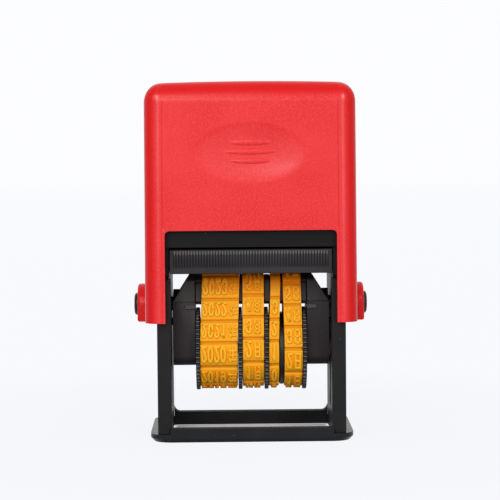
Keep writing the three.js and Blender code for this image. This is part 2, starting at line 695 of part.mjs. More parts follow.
// Platen block: a saddle over the bracket's bar. The bands run over its narrow core. Its shoulders
// stand at both sides, stepped back next to the bands, with a divider between the month and the day,
// and its ends are chamfered.
function platenBlock(places) {
  const shoulderTop = printRadius - platenShoulder;
  const bottom = armRise + platenLedge;
  const { lean, cornerY, cornerZ } = bandLoop();
  const sideTop = new THREE.Vector2(cornerY + platenRound * Math.sin(lean), cornerZ + platenRound * Math.cos(lean));
  const foot = sideTop.x + (sideTop.y - bottom) / Math.tan(lean);
  const core = new THREE.Shape();
  core.moveTo(-foot, bottom);
  core.lineTo(foot, bottom);
  core.lineTo(sideTop.x, sideTop.y);
  core.absarc(cornerY, cornerZ, platenRound, Math.PI / 2 - lean, Math.PI / 2);
  core.absarc(-cornerY, cornerZ, platenRound, Math.PI / 2, Math.PI / 2 + lean);
  const shoulderShape = (inset) => new THREE.Shape([
    [-platenSkirtDepth + inset, bottom], [platenSkirtDepth - inset, bottom],
    [platenShoulderDepth - inset, shoulderTop - platenRound], [platenShoulderDepth - inset - platenRound, shoulderTop],
    [-platenShoulderDepth + inset + platenRound, shoulderTop], [-platenShoulderDepth + inset, shoulderTop - platenRound],
  ].map(([y, z]) => new THREE.Vector2(y, z)));
  const shoulder = shoulderShape(0);
  const recess = shoulderShape(platenRecess);
  const bandsStart = places[0].bandStart - bandSideFit;
  const bandsEnd = places[3].bandStart + places[3].band + bandSideFit;
  const dividerStart = places[1].bandStart + places[1].band + bandSideFit;
  const dividerEnd = places[2].bandStart - bandSideFit;
  const dividerCut = box(
    dividerStart - overrun, dividerEnd + overrun, -platenSkirtDepth, platenSkirtDepth,
    shoulderTop - dividerInset, shoulderTop + overrun);
  const chamfer = (side) => {
    const wedge = new THREE.Shape();
    wedge.moveTo(side * (bracketHalf - platenChamferRun), shoulderTop + overrun);
    wedge.lineTo(side * (bracketHalf - platenChamferRun), shoulderTop);
    wedge.lineTo(side * bracketHalf, bottom);
    wedge.lineTo(side * (bracketHalf + overrun), bottom);
    wedge.lineTo(side * (bracketHalf + overrun), shoulderTop + overrun);
    return solid(alongY(wedge, -platenSkirtDepth - overrun, platenSkirtDepth + overrun));
  };
  const body = cut(
    join(
      solid(alongX(core, -bracketHalf, bracketHalf)),
      solid(alongX(shoulder, -bracketHalf, -armInner)),
      solid(alongX(shoulder, armInner, bracketHalf)),
      solid(alongX(recess, -armInner, bandsStart)),
      solid(alongX(recess, bandsEnd, armInner)),
      cut(solid(alongX(shoulder, dividerStart, dividerEnd)), solid(dividerCut))),
    chamfer(-1), chamfer(1),
    solid(barX(barRadius + barFit, -bracketHalf - overrun, bracketHalf + overrun, 0, roundSides)));
  return piece('platen_block', geometryOf(body), 'unitBlack');
}

// A band: an endless strip with raised cells, a groove between each two.
function typeBand(place) {
  const loop = bandLoop();
  const pitch = loop.length / bandCells;
  const outline = [];
  for (let cell = 0; cell < bandCells; cell += 1) {
    const start = (cell - 0.5 + place.phaseShare) * pitch;
    outline.push(loop.placeAt(start - cellGroove / 2, bandBase), loop.placeAt(start + cellGroove / 2, bandBase));
    for (const share of [0, 0.2, 0.4, 0.6, 0.8, 1]) {
      const distance = start + cellGroove / 2 + share * (pitch - cellGroove);
      outline.push(loop.placeAt(distance, bandBase + cellHeight));
    }
  }
  const inner = [];
  const innerSteps = 60;
  for (let step = 0; step < innerSteps; step += 1) inner.push(loop.placeAt(loop.length * step / innerSteps, 0));
  const shape = new THREE.Shape(outline);
  shape.holes.push(new THREE.Path(inner));
  const geometry = alongX(shape, place.bandStart, place.bandStart + place.band);
  return piece(`${place.name}_band`, geometryOf(solid(geometry)), 'bandOrange');
}

function toothedDisc(radius) {
  const points = [];
  for (let tooth = 0; tooth < wheelTeeth; tooth += 1) {
    for (const [share, r] of [[0, radius], [0.5, radius - toothDepth]]) {
      const angle = 2 * Math.PI * (tooth + share) / wheelTeeth;
      points.push(new THREE.Vector2(r * Math.cos(angle), r * Math.sin(angle)));
    }
  }
  return new THREE.Shape(points);
}

// A setting wheel: a round hub under its band, a toothed flange to turn it by, and on the last wheel
// a plain disc as well. Each is drawn about its own axis.
function settingWheel(place) {
  const length = wheelLength(place);
  const hub = solid(barX(hubRadius, 0, length, 0, 40));
  const parts = [hub];
  if (place.leftToothed) parts.push(solid(alongX(toothedDisc(flangeRadius), 0, place.left)));
  else parts.push(solid(barX(discRadius, 0, place.left, 0, 40)));
  if (place.right > 0) parts.push(solid(alongX(toothedDisc(flangeRadius), length - place.right, length)));
  const bore = solid(barX(shaftRadius + shaftFit, -overrun, length + overrun));
  const mesh = piece(`${place.name}_wheel`, geometryOf(cut(join(...parts), bore)), 'wheelBlack');
  mesh.position.set(place.start, 0, -wheelDrop);
  return mesh;
}

// A revolved piece: a profile of (radius, distance along the axis) points, turned to run along X.
function turned(profile, sides) {
  const points = profile.map(([radius, along]) => new THREE.Vector2(radius, along));
  return new THREE.LatheGeometry(points, sides).rotateZ(-Math.PI / 2);
}

function wheelShaft() {
  const head = shaftRadius + shaftHeadRim;
  const reach = bracketHalf;
  const profile = [
    [0, -reach], [head - shaftHeadThickness / 3, -reach], [head, -reach + shaftHeadThickness / 3],
    [head, -reach + shaftHeadThickness], [shaftRadius, -reach + shaftHeadThickness],
    [shaftRadius, reach - shaftHeadThickness / 4], [shaftRadius - shaftHeadThickness / 4, reach], [0, reach],
  ];
  const mesh = piece('wheel_shaft', geometryOf(solid(turned(profile, holeSides))), 'steel');
  mesh.position.z = -wheelDrop;
  return mesh;
}

function shaftClip() {
  const outer = shaftRadius + shaftHeadRim;
  const inner = shaftRadius + shaftFit / 2;
  const profile = [
    [inner, 0], [outer, 0], [outer, shaftHeadThickness * 0.6], [inner, shaftHeadThickness * 0.6], [inner, 0],
  ];
  const mesh = piece('shaft_clip', geometryOf(solid(turned(profile, holeSides))), 'steel');
  mesh.position.set(bracketHalf - shaftHeadThickness, 0, -wheelDrop);
  return mesh;
}

// A pivot pin: a shank through the cap's boss and the frame's slot into the bracket, with a low
// domed head outside.
function pivotPin(side) {
  const seat = bossOuter + pinHeadFit;
  const inner = bracketHalf - pinDepth;
  const tip = pinRadius / 4;
  const profile = [[0, inner], [pinRadius - tip, inner], [pinRadius, inner + tip], [pinRadius, seat]];
  for (const [radiusShare, riseShare] of [[1, 0], [1, 0.45], [0.93, 0.75], [0.75, 0.93]]) {
    profile.push([pinHeadRadius * radiusShare, seat + pinHeadThickness * riseShare]);
  }
  profile.push([0, seat + pinHeadThickness]);
  const geometry = turned(profile, roundSides);
  if (side < 0) geometry.rotateZ(Math.PI);
  return piece(side < 0 ? 'pivot_pin_left' : 'pivot_pin_right', geometryOf(solid(geometry)), 'frameBlack');
}

// Date unit: everything that hangs on the pivot pins, drawn about the pivot axis.
function dateUnit() {
  const group = new THREE.Group();
  group.position.z = axleHeight;
  const places = stackPlaces();
  group.add(wheelBracket(), platenBlock(places), wheelShaft(), shaftClip(), pivotPin(-1), pivotPin(1));
  for (const place of places) group.add(typeBand(place), settingWheel(place));
  return group;
}

// Return spring: an open coil between the head's floor and the cap's roof.
class SpringCurve extends THREE.Curve {
  getPoint(share, target = new THREE.Vector3()) {
    const angle = 2 * Math.PI * springTurns * share;
    const low = springFit + springWire / 2;
    return target.set(
      springRadius * Math.cos(angle), springRadius * Math.sin(angle), low + share * (springLength - 2 * low));
  }
}

function returnSpring() {
  const wire = new THREE.Shape();
  wire.absarc(0, 0, springWire / 2, 0, 2 * Math.PI);
  const curve = new SpringCurve();
  const geometry = new THREE.ExtrudeGeometry(wire, {
    steps: springTurns * 10, extrudePath: curve, curveSegments: 3, bevelEnabled: false,
  });
  const samples = Array.from({ length: springTurns * 24 + 1 }, (_, k) => curve.getPoint(k / (springTurns * 24)));
  let nearest = Infinity;
  samples.forEach((point, k) => {
    for (let other = k + 12; other < samples.length; other += 1) {
      nearest = Math.min(nearest, point.distanceTo(samples[other]));
    }
  });
  console.log(`return spring, least gap between turns: ${(nearest - springWire).toFixed(2)} mm`);
  const mesh = piece('return_spring', geometryOf(solid(geometry)), 'steel');
  mesh.position.z = springSeat;
  return mesh;
}

const stamp = new THREE.Group();
stamp.add(frame(), baseFoot(), inkCassette(), dateUnit(), returnSpring(), pressCap());

export default stamp;
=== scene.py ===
import math

import bmesh
import bpy
import numpy as np
from mathutils import Matrix, Vector


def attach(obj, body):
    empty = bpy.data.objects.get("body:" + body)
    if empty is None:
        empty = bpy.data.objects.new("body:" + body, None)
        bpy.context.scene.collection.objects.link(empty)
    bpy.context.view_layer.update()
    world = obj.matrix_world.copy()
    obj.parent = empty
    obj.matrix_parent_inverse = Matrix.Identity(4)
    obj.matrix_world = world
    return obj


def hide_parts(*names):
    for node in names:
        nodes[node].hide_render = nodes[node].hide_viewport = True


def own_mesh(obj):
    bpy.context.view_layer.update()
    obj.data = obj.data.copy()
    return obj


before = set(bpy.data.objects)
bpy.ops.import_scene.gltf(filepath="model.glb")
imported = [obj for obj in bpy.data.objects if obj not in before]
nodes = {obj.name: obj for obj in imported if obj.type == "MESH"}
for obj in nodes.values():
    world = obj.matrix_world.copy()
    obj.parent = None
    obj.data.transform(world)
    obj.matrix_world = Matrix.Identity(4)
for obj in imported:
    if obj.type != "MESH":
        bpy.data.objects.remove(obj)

scene = bpy.context.scene
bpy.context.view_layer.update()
mm = 0.001
pivotHeight = 35.95
print("stage: frame loaded")


def colour(code):
    # "#rrggbb" as linear light
    parts = [int(code[k:k + 2], 16) / 255 for k in (1, 3, 5)]
    return (*[p / 12.92 if p <= 0.04045 else ((p + 0.055) / 1.055) ** 2.4 for p in parts], 1.0)


class Wire:
    # a shader socket that is used in sums like a number
    def __init__(self, graph, socket):
        self.graph = graph
        self.socket = socket

    def math(self, operation, *values):
        return self.graph.add("ShaderNodeMath", dict(enumerate(values)), operation=operation)

    def other(self, name):
        return Wire(self.graph, self.socket.node.outputs[name])

    def __abs__(self):
        return self.math("ABSOLUTE", self)

    def __add__(self, value):
        return self.math("ADD", self, value)

    def __mul__(self, value):
        return self.math("MULTIPLY", self, value)

    def __sub__(self, value):
        return self.math("SUBTRACT", self, value)

    def __rsub__(self, value):
        return self.math("SUBTRACT", value, self)

    def __gt__(self, value):
        return self.math("GREATER_THAN", self, value)

    __radd__ = __add__
    __rmul__ = __mul__


class Graph:
    # a tree of shader nodes
    def __init__(self, tree):
        self.tree = tree
        tree.nodes.clear()

    def add(self, kind, values={}, output=0, **settings):
        # wires among the values are linked and "#rrggbb" texts become colours; an end node has no output
        node = self.tree.nodes.new(kind)
        for key, value in settings.items():
            setattr(node, key, value)
        for key, value in values.items():
            if isinstance(value, Wire):
                self.tree.links.new(value.socket, node.inputs[key])
            else:
                node.inputs[key].default_value = colour(value) if isinstance(value, str) else value
        return Wire(self, node.outputs[output]) if node.outputs else None

    def seen(self):
        # 1 for rays of the camera, in mirrors and through glass, 0 for the light that falls on the object
        path = self.add("ShaderNodeLightPath", output="Is Camera Ray")
        glossy = path.math("MAXIMUM", path, path.other("Is Glossy Ray"))
        return path.math("MAXIMUM", glossy, path.other("Is Transmission Ray"))


class Finish(Graph):
    # a material with one Principled shader, and what feeds it
    def __init__(self, name, constants):
        self.material = bpy.data.materials.new(name)
        self.material.use_nodes = True
        super().__init__(self.material.node_tree)
        self.place = self.add("ShaderNodeTexCoord", output="Object")
        self.shader = self.add("ShaderNodeBsdfPrincipled", constants)
        self.end = self.tree.nodes.new("ShaderNodeOutputMaterial")
        self.show(self.shader)

    def show(self, shader):
        self.tree.links.new(shader.socket, self.end.inputs[0])

    def feed(self, socket, wire):
        self.tree.links.new(wire.socket, self.shader.socket.node.inputs[socket])

    def attribute(self, name):
        return self.add("ShaderNodeAttribute", output="Fac", attribute_name=name)

    def along(self, axis):
        return self.add("ShaderNodeSeparateXYZ", {0: self.place}, axis)

    def noise(self, scale, detail, vector=None):
        values = {"Vector": vector or self.place, "Scale": scale, "Detail": detail}
        return self.add("ShaderNodeTexNoise", values)

    def streaks(self, scale):
        # noise that is drawn out along the axis with the smallest scale
        return self.noise(1, 2, self.add("ShaderNodeMapping", {"Vector": self.place, "Scale": scale}))

    def ease(self, value, low, high):
        # 0 below low, 1 above high, an S-curve between
        values = {"Value": value, "From Min": low, "From Max": high}
        return self.add("ShaderNodeMapRange", values, interpolation_type="SMOOTHSTEP")

    def mix(self, share, first, second):
        return self.add("ShaderNodeMix", {0: share, 6: first, 7: second}, 2, data_type="RGBA")

    def specks(self, scale, size, share):
        # dots of dust: in a share of the cells of a Voronoi pattern, within a distance of the cell's point
        cell = self.add("ShaderNodeTexVoronoi", {"Vector": self.place, "Scale": scale})
        chance = self.add("ShaderNodeSeparateColor", {0: cell.other("Color")})
        return (1 - self.ease(cell, size * 0.5, size)) * (chance > 1 - share)

    def surface(self, base, rough, height, strength, distance):
        # the colour, the roughness, and a relief with its strength and depth; gives the finished material
        self.feed("Base Color", base)
        self.feed("Roughness", rough)
        values = {"Height": height, "Strength": strength, "Distance": distance}
        self.feed("Normal", self.add("ShaderNodeBump", values))
        return self.material


redPlastic = {
    "face": "#ec3437", "deep": "#e52b2e", "mottle": "#f4494b", "edge": "#dc1214", "rough": 0.46,
    "edgeRough": 0.24, "grain": 2600, "grainDepth": 0.00005, "grainStrength": 0.55,
}


def makeRedPlastic(look):
    # "panel" is 1 on the flat faces, which have a fine chalk-like grain, and 0 on the smooth rounded edges,
    # whose deeper red is partly their smooth finish and partly painted shade where the rounding turns from
    # the light; "polish" is the weight of a thin gloss, where hands have rubbed the corners and thumbs the
    # dish
    finish = Finish("redPlastic", {
        "IOR": 1.4, "Specular IOR Level": 0.25, "Coat Roughness": 0.24, "Coat IOR": 1.5})
    panel = finish.attribute("panel")
    finish.feed("Coat Weight", finish.attribute("polish"))
    chalkAndShade = finish.ease(panel, 0.05, 0.8)
    grainy = finish.ease(panel, 0.75, 1.0)
    cloud = finish.ease(finish.noise(60, 3), 0.35, 0.7)
    mottle = finish.ease(finish.noise(2100, 2), 0.4, 0.75)
    flat = finish.mix(cloud, look["face"], look["deep"])
    flat = finish.mix(mottle * 0.6, flat, look["mottle"])
    # the edge red on the rounded edges and the seam's line: partly smooth finish, partly painted shade
    base = finish.mix(chalkAndShade, look["edge"], flat)
    rough = look["edgeRough"] + (look["rough"] - look["edgeRough"]) * grainy
    rough = rough + 0.08 * finish.noise(900, 2) - 0.04
    grain = finish.noise(look["grain"], 2) * (0.15 + 0.85 * grainy)
    return finish.surface(base, rough, grain, look["grainStrength"], look["grainDepth"])


blackLooks = {
    "frameBlack": {"dark": "#1b191b", "light": "#222021", "head": "#0c0a0b", "rough": 0.42, "gloss": 0.13},
    "footBlack": {"dark": "#1b1a1c", "light": "#222023", "rough": 0.26, "gloss": 0.15, "dull": 0.4},
    "unitBlack": {
        "dark": "#221c1d", "light": "#2b2425", "crest": "#4a4648", "crestFrom": 0.0, "rough": 0.45,
        "flow": (700, 300, 25)},
    "wheelBlack": {
        "dark": "#0b0a0c", "light": "#121113", "crest": "#656466", "rough": 0.36, "gloss": 0.3,
        "dustShare": 0.04},
    "trayBlack": {
        "dark": "#262527", "light": "#312f31", "crest": "#6c696b", "crestFrom": 0.0, "rough": 0.5,
        "fineShare": 0.06},
    "pinBlack": {"dark": "#161517", "light": "#1e1c1e", "rough": 0.30},
}


def makeBlackPlastic(name, look):
    # moulded plastic: a little lighter in clouds, long faint flow marks, fine grain and dust. "crest" is the
    # colour of a painted highlight on tooth crests, rib ends and catches, "head" that of painted shade on the
    # frame's head, and "dull" roughens the foot between its ends
    finish = Finish(name, {"IOR": 1.5, "Specular IOR Level": look.get("gloss", 0.2)})
    cloud = finish.ease(finish.noise(90, 3), 0.3, 0.75)
    flow = finish.streaks(look.get("flow", (300, 300, 40)))
    dust = finish.specks(420, 0.055, look.get("dustShare", 0.10))
    fine = finish.specks(1100, 0.10, look.get("fineShare", 0.03))
    base = finish.mix(cloud, look["dark"], look["light"])
    if "crest" in look:
        # where the crest attribute is high the colour goes a lighter grey: a painted highlight
        highlightShare = finish.ease(finish.attribute("crest"), look.get("crestFrom", 0.55), 1.0)
        base = finish.mix(highlightShare, base, look["crest"])
    if "head" in look:
        # the frame's head, above 50.5 mm, is painted a darker black: painted shade under the cap
        base = finish.mix(finish.ease(finish.along("Z"), 0.0505, 0.0525), base, look["head"])
    base = finish.mix(fine * 0.35, finish.mix(dust * 0.55, base, "#a9a5a6"), "#8f8b8c")
    rough = look["rough"] + 0.12 * flow - 0.06 + 0.3 * dust
    if "dull" in look:
        rough = rough + look["dull"] * (1 - finish.ease(abs(finish.along("X")), 0.0215, 0.0225))
    return finish.surface(base, rough, finish.noise(2400, 2) + 0.6 * flow, 0.25, 0.00004)


# shadedGround, groove, shadedFlank and trayShade are darker or redder copies of the rim's orange: painted
# shade
orangeRubber = {
    "rim": ("#ffb62a", "#ffb022"), "shadedGround": ("#ffac10", "#fca60d"), "groove": "#e29414",
    "shadedFlank": "#f28405", "top": "#ffc02e", "trayShade": "#fb7f07", "trayShadeTop": "#fd8609", "ink": "#d9880f",
}


def makeOrangeRubber(look):
    # "rise" is the height above the band's back in mm; "wellShade" is 1 on a cell's face between its signs,
    # painted deeper in colour than the rim and the signs as painted shade; "trayShadow" is 1 on the cells
    # nearest the platen's top, painted a deeper orange as the shade of the tray above
    finish = Finish("orangeRubber", {"IOR": 1.45, "Specular IOR Level": 0.12})
    rise, wellShade, trayShadow = [finish.attribute(name) for name in ("rise", "wellShade", "trayShadow")]
    cloud = finish.ease(finish.noise(160, 3), 0.3, 0.75)
    cell = finish.mix(wellShade, finish.mix(cloud, *look["rim"]), finish.mix(cloud, *look["shadedGround"]))
    # the grooves between cells are painted a darker orange: painted shade in the creases
    groove = finish.mix(finish.ease(rise, 0.95, 1.45), look["groove"], cell)
    # nearest the platen's top the cells are painted a deeper orange: painted shade from the tray above
    trayShade = finish.mix(trayShadow * 0.85, groove, look["trayShade"])
    top = finish.mix(trayShadow * 0.6, look["top"], look["trayShadeTop"])
    # the signs' sides are painted a redder orange: painted shade on the sides that turn from the light
    shadedFlank = finish.mix(finish.ease(rise, 1.58, 1.7), trayShade, look["shadedFlank"])
    sign = finish.mix(finish.ease(rise, 1.98, 2.06), shadedFlank, top)
    ink = finish.ease(finish.noise(520, 4), 0.66, 0.8) * 0.15
    rough = 0.5 + 0.14 * finish.noise(700, 2)
    return finish.surface(finish.mix(ink, sign, look["ink"]), rough, finish.noise(1500, 3), 0.15, 0.00004)


def makeSteel():
    # drawn steel: very fine lines, by turns lighter and rougher
    finish = Finish("springSteel", {"Metallic": 1.0})
    lines = finish.streaks((900, 900, 4000))
    base = finish.mix(lines, "#b9babc", "#d6d7d9")
    return finish.surface(base, 0.22 + 0.16 * lines, lines, 0.08, 0.00002)


def makeFelt():
    # felt dark with ink, its tufts a little lighter and rougher
    finish = Finish("inkedFelt", {"Sheen Weight": 0.25, "Sheen Roughness": 0.6})
    tuft = finish.noise(1800, 5)
    base = finish.mix(tuft, "#08080d", "#1c1c28")
    return finish.surface(base, 0.8 + 0.18 * tuft, tuft, 0.7, 0.00025)


finishes = {name: makeBlackPlastic(name, look) for name, look in blackLooks.items()}
finishes["redPlastic"] = makeRedPlastic(redPlastic)
finishes["orangeRubber"] = makeOrangeRubber(orangeRubber)
finishes["springSteel"] = makeSteel()
finishes["inkedFelt"] = makeFelt()
print("stage: finishes made")


def pick(look, names):
    # several values of a dictionary at once
    return [look[name] for name in names.split()]


def joined(*parts):
    # x, y and z side by side; each may be an array or a single number
    return np.stack(np.broadcast_arrays(*parts), axis=-1)


def gridQuads(rows, columns, rowsClosed, columnsClosed):
    # the corners of each face of a grid of points that are counted row by row
    row = np.arange(rows if rowsClosed else rows - 1)[:, None]
    column = np.arange(columns if columnsClosed else columns - 1)
    here, below = row * columns, (row + 1) % rows * columns
    beside = (column + 1) % columns
    return joined(here + column, here + beside, below + beside, below + column).reshape(-1, 4)


def volumeOf(points, quads):
    # the signed volume inside a closed skin: a sixth of the sum of a . (b x c) over its triangles
    a, b, c, d = (points[quads[:, k]] for k in range(4))
    return (np.einsum("ij,ij->", a, np.cross(b, c)) + np.einsum("ij,ij->", a, np.cross(c, d))) / 6


def shellOf(grid, rowsClosed=False, columnsClosed=True):
    # a closed skin from a grid of points in mm, turned so that its faces point outwards
    points = grid.reshape(-1, 3)
    quads = gridQuads(*grid.shape[:2], rowsClosed, columnsClosed)
    return points, quads if volumeOf(points, quads) > 0 else quads[:, ::-1]


def addPiece(name, shells, body, finish, sharp, attributes={}):
    # one object from several closed skins in mm; corners that coincide are merged, which closes the poles
    skins, faces = zip(*shells)
    starts = np.cumsum([0] + [len(points) for points in skins])
    points = np.concatenate(skins) * mm
    quads = np.concatenate([quads + start for quads, start in zip(faces, starts)])
    mesh = bpy.data.meshes.new(name)
    mesh.from_pydata(points.tolist(), [], quads.tolist())
    for key, values in attributes.items():
        layer = mesh.attributes.new(key, "FLOAT", "POINT")
        layer.data.foreach_set("value", values.reshape(-1).astype(np.float32))
    merged = bmesh.new()
    merged.from_mesh(mesh)
    bmesh.ops.remove_doubles(merged, verts=merged.verts, dist=1e-7)
    bmesh.ops.dissolve_degenerate(merged, edges=merged.edges, dist=1e-8)
    return dress(merged, mesh, body, finish, sharp)


def softCopy(nodeName, name, body, finish, width, segments=2, halfDepth=None):
    # the CAD shape with its flat faces made whole and every edge rounded; past the half depth it is trimmed
    mesh = nodes[nodeName].data.copy()
    mesh.name = name
    merged = bmesh.new()
    merged.from_mesh(mesh)
    if halfDepth:
        for vertex in merged.verts:
            vertex.co.y = min(max(vertex.co.y, -halfDepth * mm), halfDepth * mm)
    bmesh.ops.remove_doubles(merged, verts=merged.verts, dist=2e-6)
    bmesh.ops.dissolve_limit(merged, angle_limit=math.radians(0.6), verts=merged.verts, edges=merged.edges)
    obj = dress(merged, mesh, body, finish, 30)
    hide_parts(nodeName)
    softenEdges(obj, width, segments, 30)


def dress(merged, mesh, body, finish, sharp):
    # the finished mesh as an object: smooth but for its sharp edges, with its finish and body
    merged.to_mesh(mesh)
    merged.free()
    obj = bpy.data.objects.new(mesh.name, mesh)
    scene.collection.objects.link(obj)
    mesh.shade_smooth()
    mesh.set_sharp_from_angle(angle=math.radians(sharp))
    mesh.materials.clear()
    mesh.materials.append(finishes[finish])
    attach(obj, body)
    return obj


def softenEdges(obj, width, segments, angle):
    bevel = obj.modifiers.new("edges", "BEVEL")
    bevel.width = width * mm
    bevel.segments = segments
    bevel.limit_method = "ANGLE"
    bevel.angle_limit = math.radians(angle)
    bevel.harden_normals = True
    bevel.use_clamp_overlap = True


def spread(first, *stops):
    # positions in runs: (start, end, count), (next end, count) ...
    places = [np.linspace(first[0], first[1], first[2] + 1)]
    for end, count in stops:
        places.append(np.linspace(places[-1][-1], end, count + 1)[1:])
    return np.concatenate(places)


def turned(x, radius, columns):
    # rings about a line along X, one for each row of x and radius; the radius may change round the ring
    angle = np.arange(columns) * 2 * np.pi / columns
    return joined(x, radius * np.cos(angle), radius * np.sin(angle))


def stacked(ring, levels):
    # an outline in (x, y) at several heights, each time drawn in towards its middle by a share
    middle = ring.mean(axis=0)
    return np.stack([joined(*(middle + share * (ring - middle)).T, z) for z, share in levels])


cap = {
    "half": 28.25, "halfDepth": 18.6, "draft": 0.24, "corner": 3.6, "wideCorner": 1.25, "cornerKeep": 0.4,
    "top": 96.3, "arch": 0.5, "round": (4.4, 4.2, 5.2), "legBottom": 32.1,
    "panelEnd": 0.75, "seamDepth": 0.08, "seamShadePanel": 0.3, "cornerPolish": 1.0, "bendPolish": 0.25,
    "innerHalf": 26.05, "innerDepth": 16.4, "innerCorner": 1.4, "innerTop": 93.8, "innerRound": 1.8,
    "windowHalf": 22.85, "windowTop": 56.7, "windowRound": 1.3,
    "dishHalf": (14.9, 8.0), "dishDepth": 1.0, "dishBulge": 3.0, "dishHeight": 77.3, "dishEase": 0.05,
    "dishPolish": 0.24, "ribs": 3, "ribPitch": 2.42, "ribLength": 6.6, "ribHeight": 0.8, "ribLift": 0.28,
    "ribRise": 0.42, "ribTaper": 0.5,
    "bossRadius": 5.6, "bossOuter": 31.0, "bossBevel": 0.7, "bossDrop": 0.6, "bore": 2.25,
    "postRadius": 4.6, "postBore": 3.0, "postLength": 7.0,
}


def capColumns():
    # the way round the cap. Each column: share of the half-width and of the half-depth, the corner's cosine
    # and sine, and the window share: 0 in the middle of a face, 1 at the window's edge, 2 at the leg's seam,
    # and 9 on the sides and corners
    across = spread((0, 0.36, 34), (0.74, 24), (1.0, 10))
    leg = np.array([1.5, 1.75, 2.0])
    face = np.r_[-leg[::-1], -across[::-1], across[1:], leg]
    side = np.linspace(-1, 1, 13)[1:-1]
    quarter = np.linspace(0, np.pi / 2, 11)
    rows = []
    for turn, (cornerX, cornerY) in enumerate([(1, -1), (1, 1), (-1, 1), (-1, -1)]):
        if turn % 2 == 0:
            for share in face * -cornerY:
                rows.append((np.sign(share) if abs(share) > 1 else share, cornerY, 0, cornerY, share))
        else:
            rows += [(cornerX, share, cornerX, 0, 9) for share in side * cornerX]
        for angle in quarter + (turn - 1) * np.pi / 2:
            rows.append((cornerX, cornerY, math.cos(angle), math.sin(angle), 9))
    return np.array(rows)


def capRelief(x, z, look):
    # how deep the face lies at (x, z): the end of an ellipsoid for the dish, with lens-shaped ribs in it
    bulge, depth, height, ribs = pick(look, "dishBulge dishDepth dishHeight ribs")
    level = bulge - depth
    rim = math.sqrt(1 - (level / bulge) ** 2)
    across = x / (look["dishHalf"][0] / rim)
    up = (z - height) / (look["dishHalf"][1] / rim)
    sunk = bulge * np.sqrt(np.clip(1 - across ** 2 - up ** 2, 0, None)) - level
    relief = np.where(sunk > -1.2, 0.5 * (sunk + np.sqrt(sunk ** 2 + look["dishEase"] ** 2)), 0)
    for k in range(ribs):
        step = k - (ribs - 1) / 2
        shorter = 1 - look["ribTaper"] * (step / ribs * 2) ** 2
        along = x / (look["ribLength"] * shorter)
        beside = (z - height - step * look["ribPitch"] - look["ribLift"]) / look["ribHeight"]
        relief = relief - look["ribRise"] * np.sqrt(np.clip(1 - along ** 2 - beside ** 2, 0, None))
    return relief


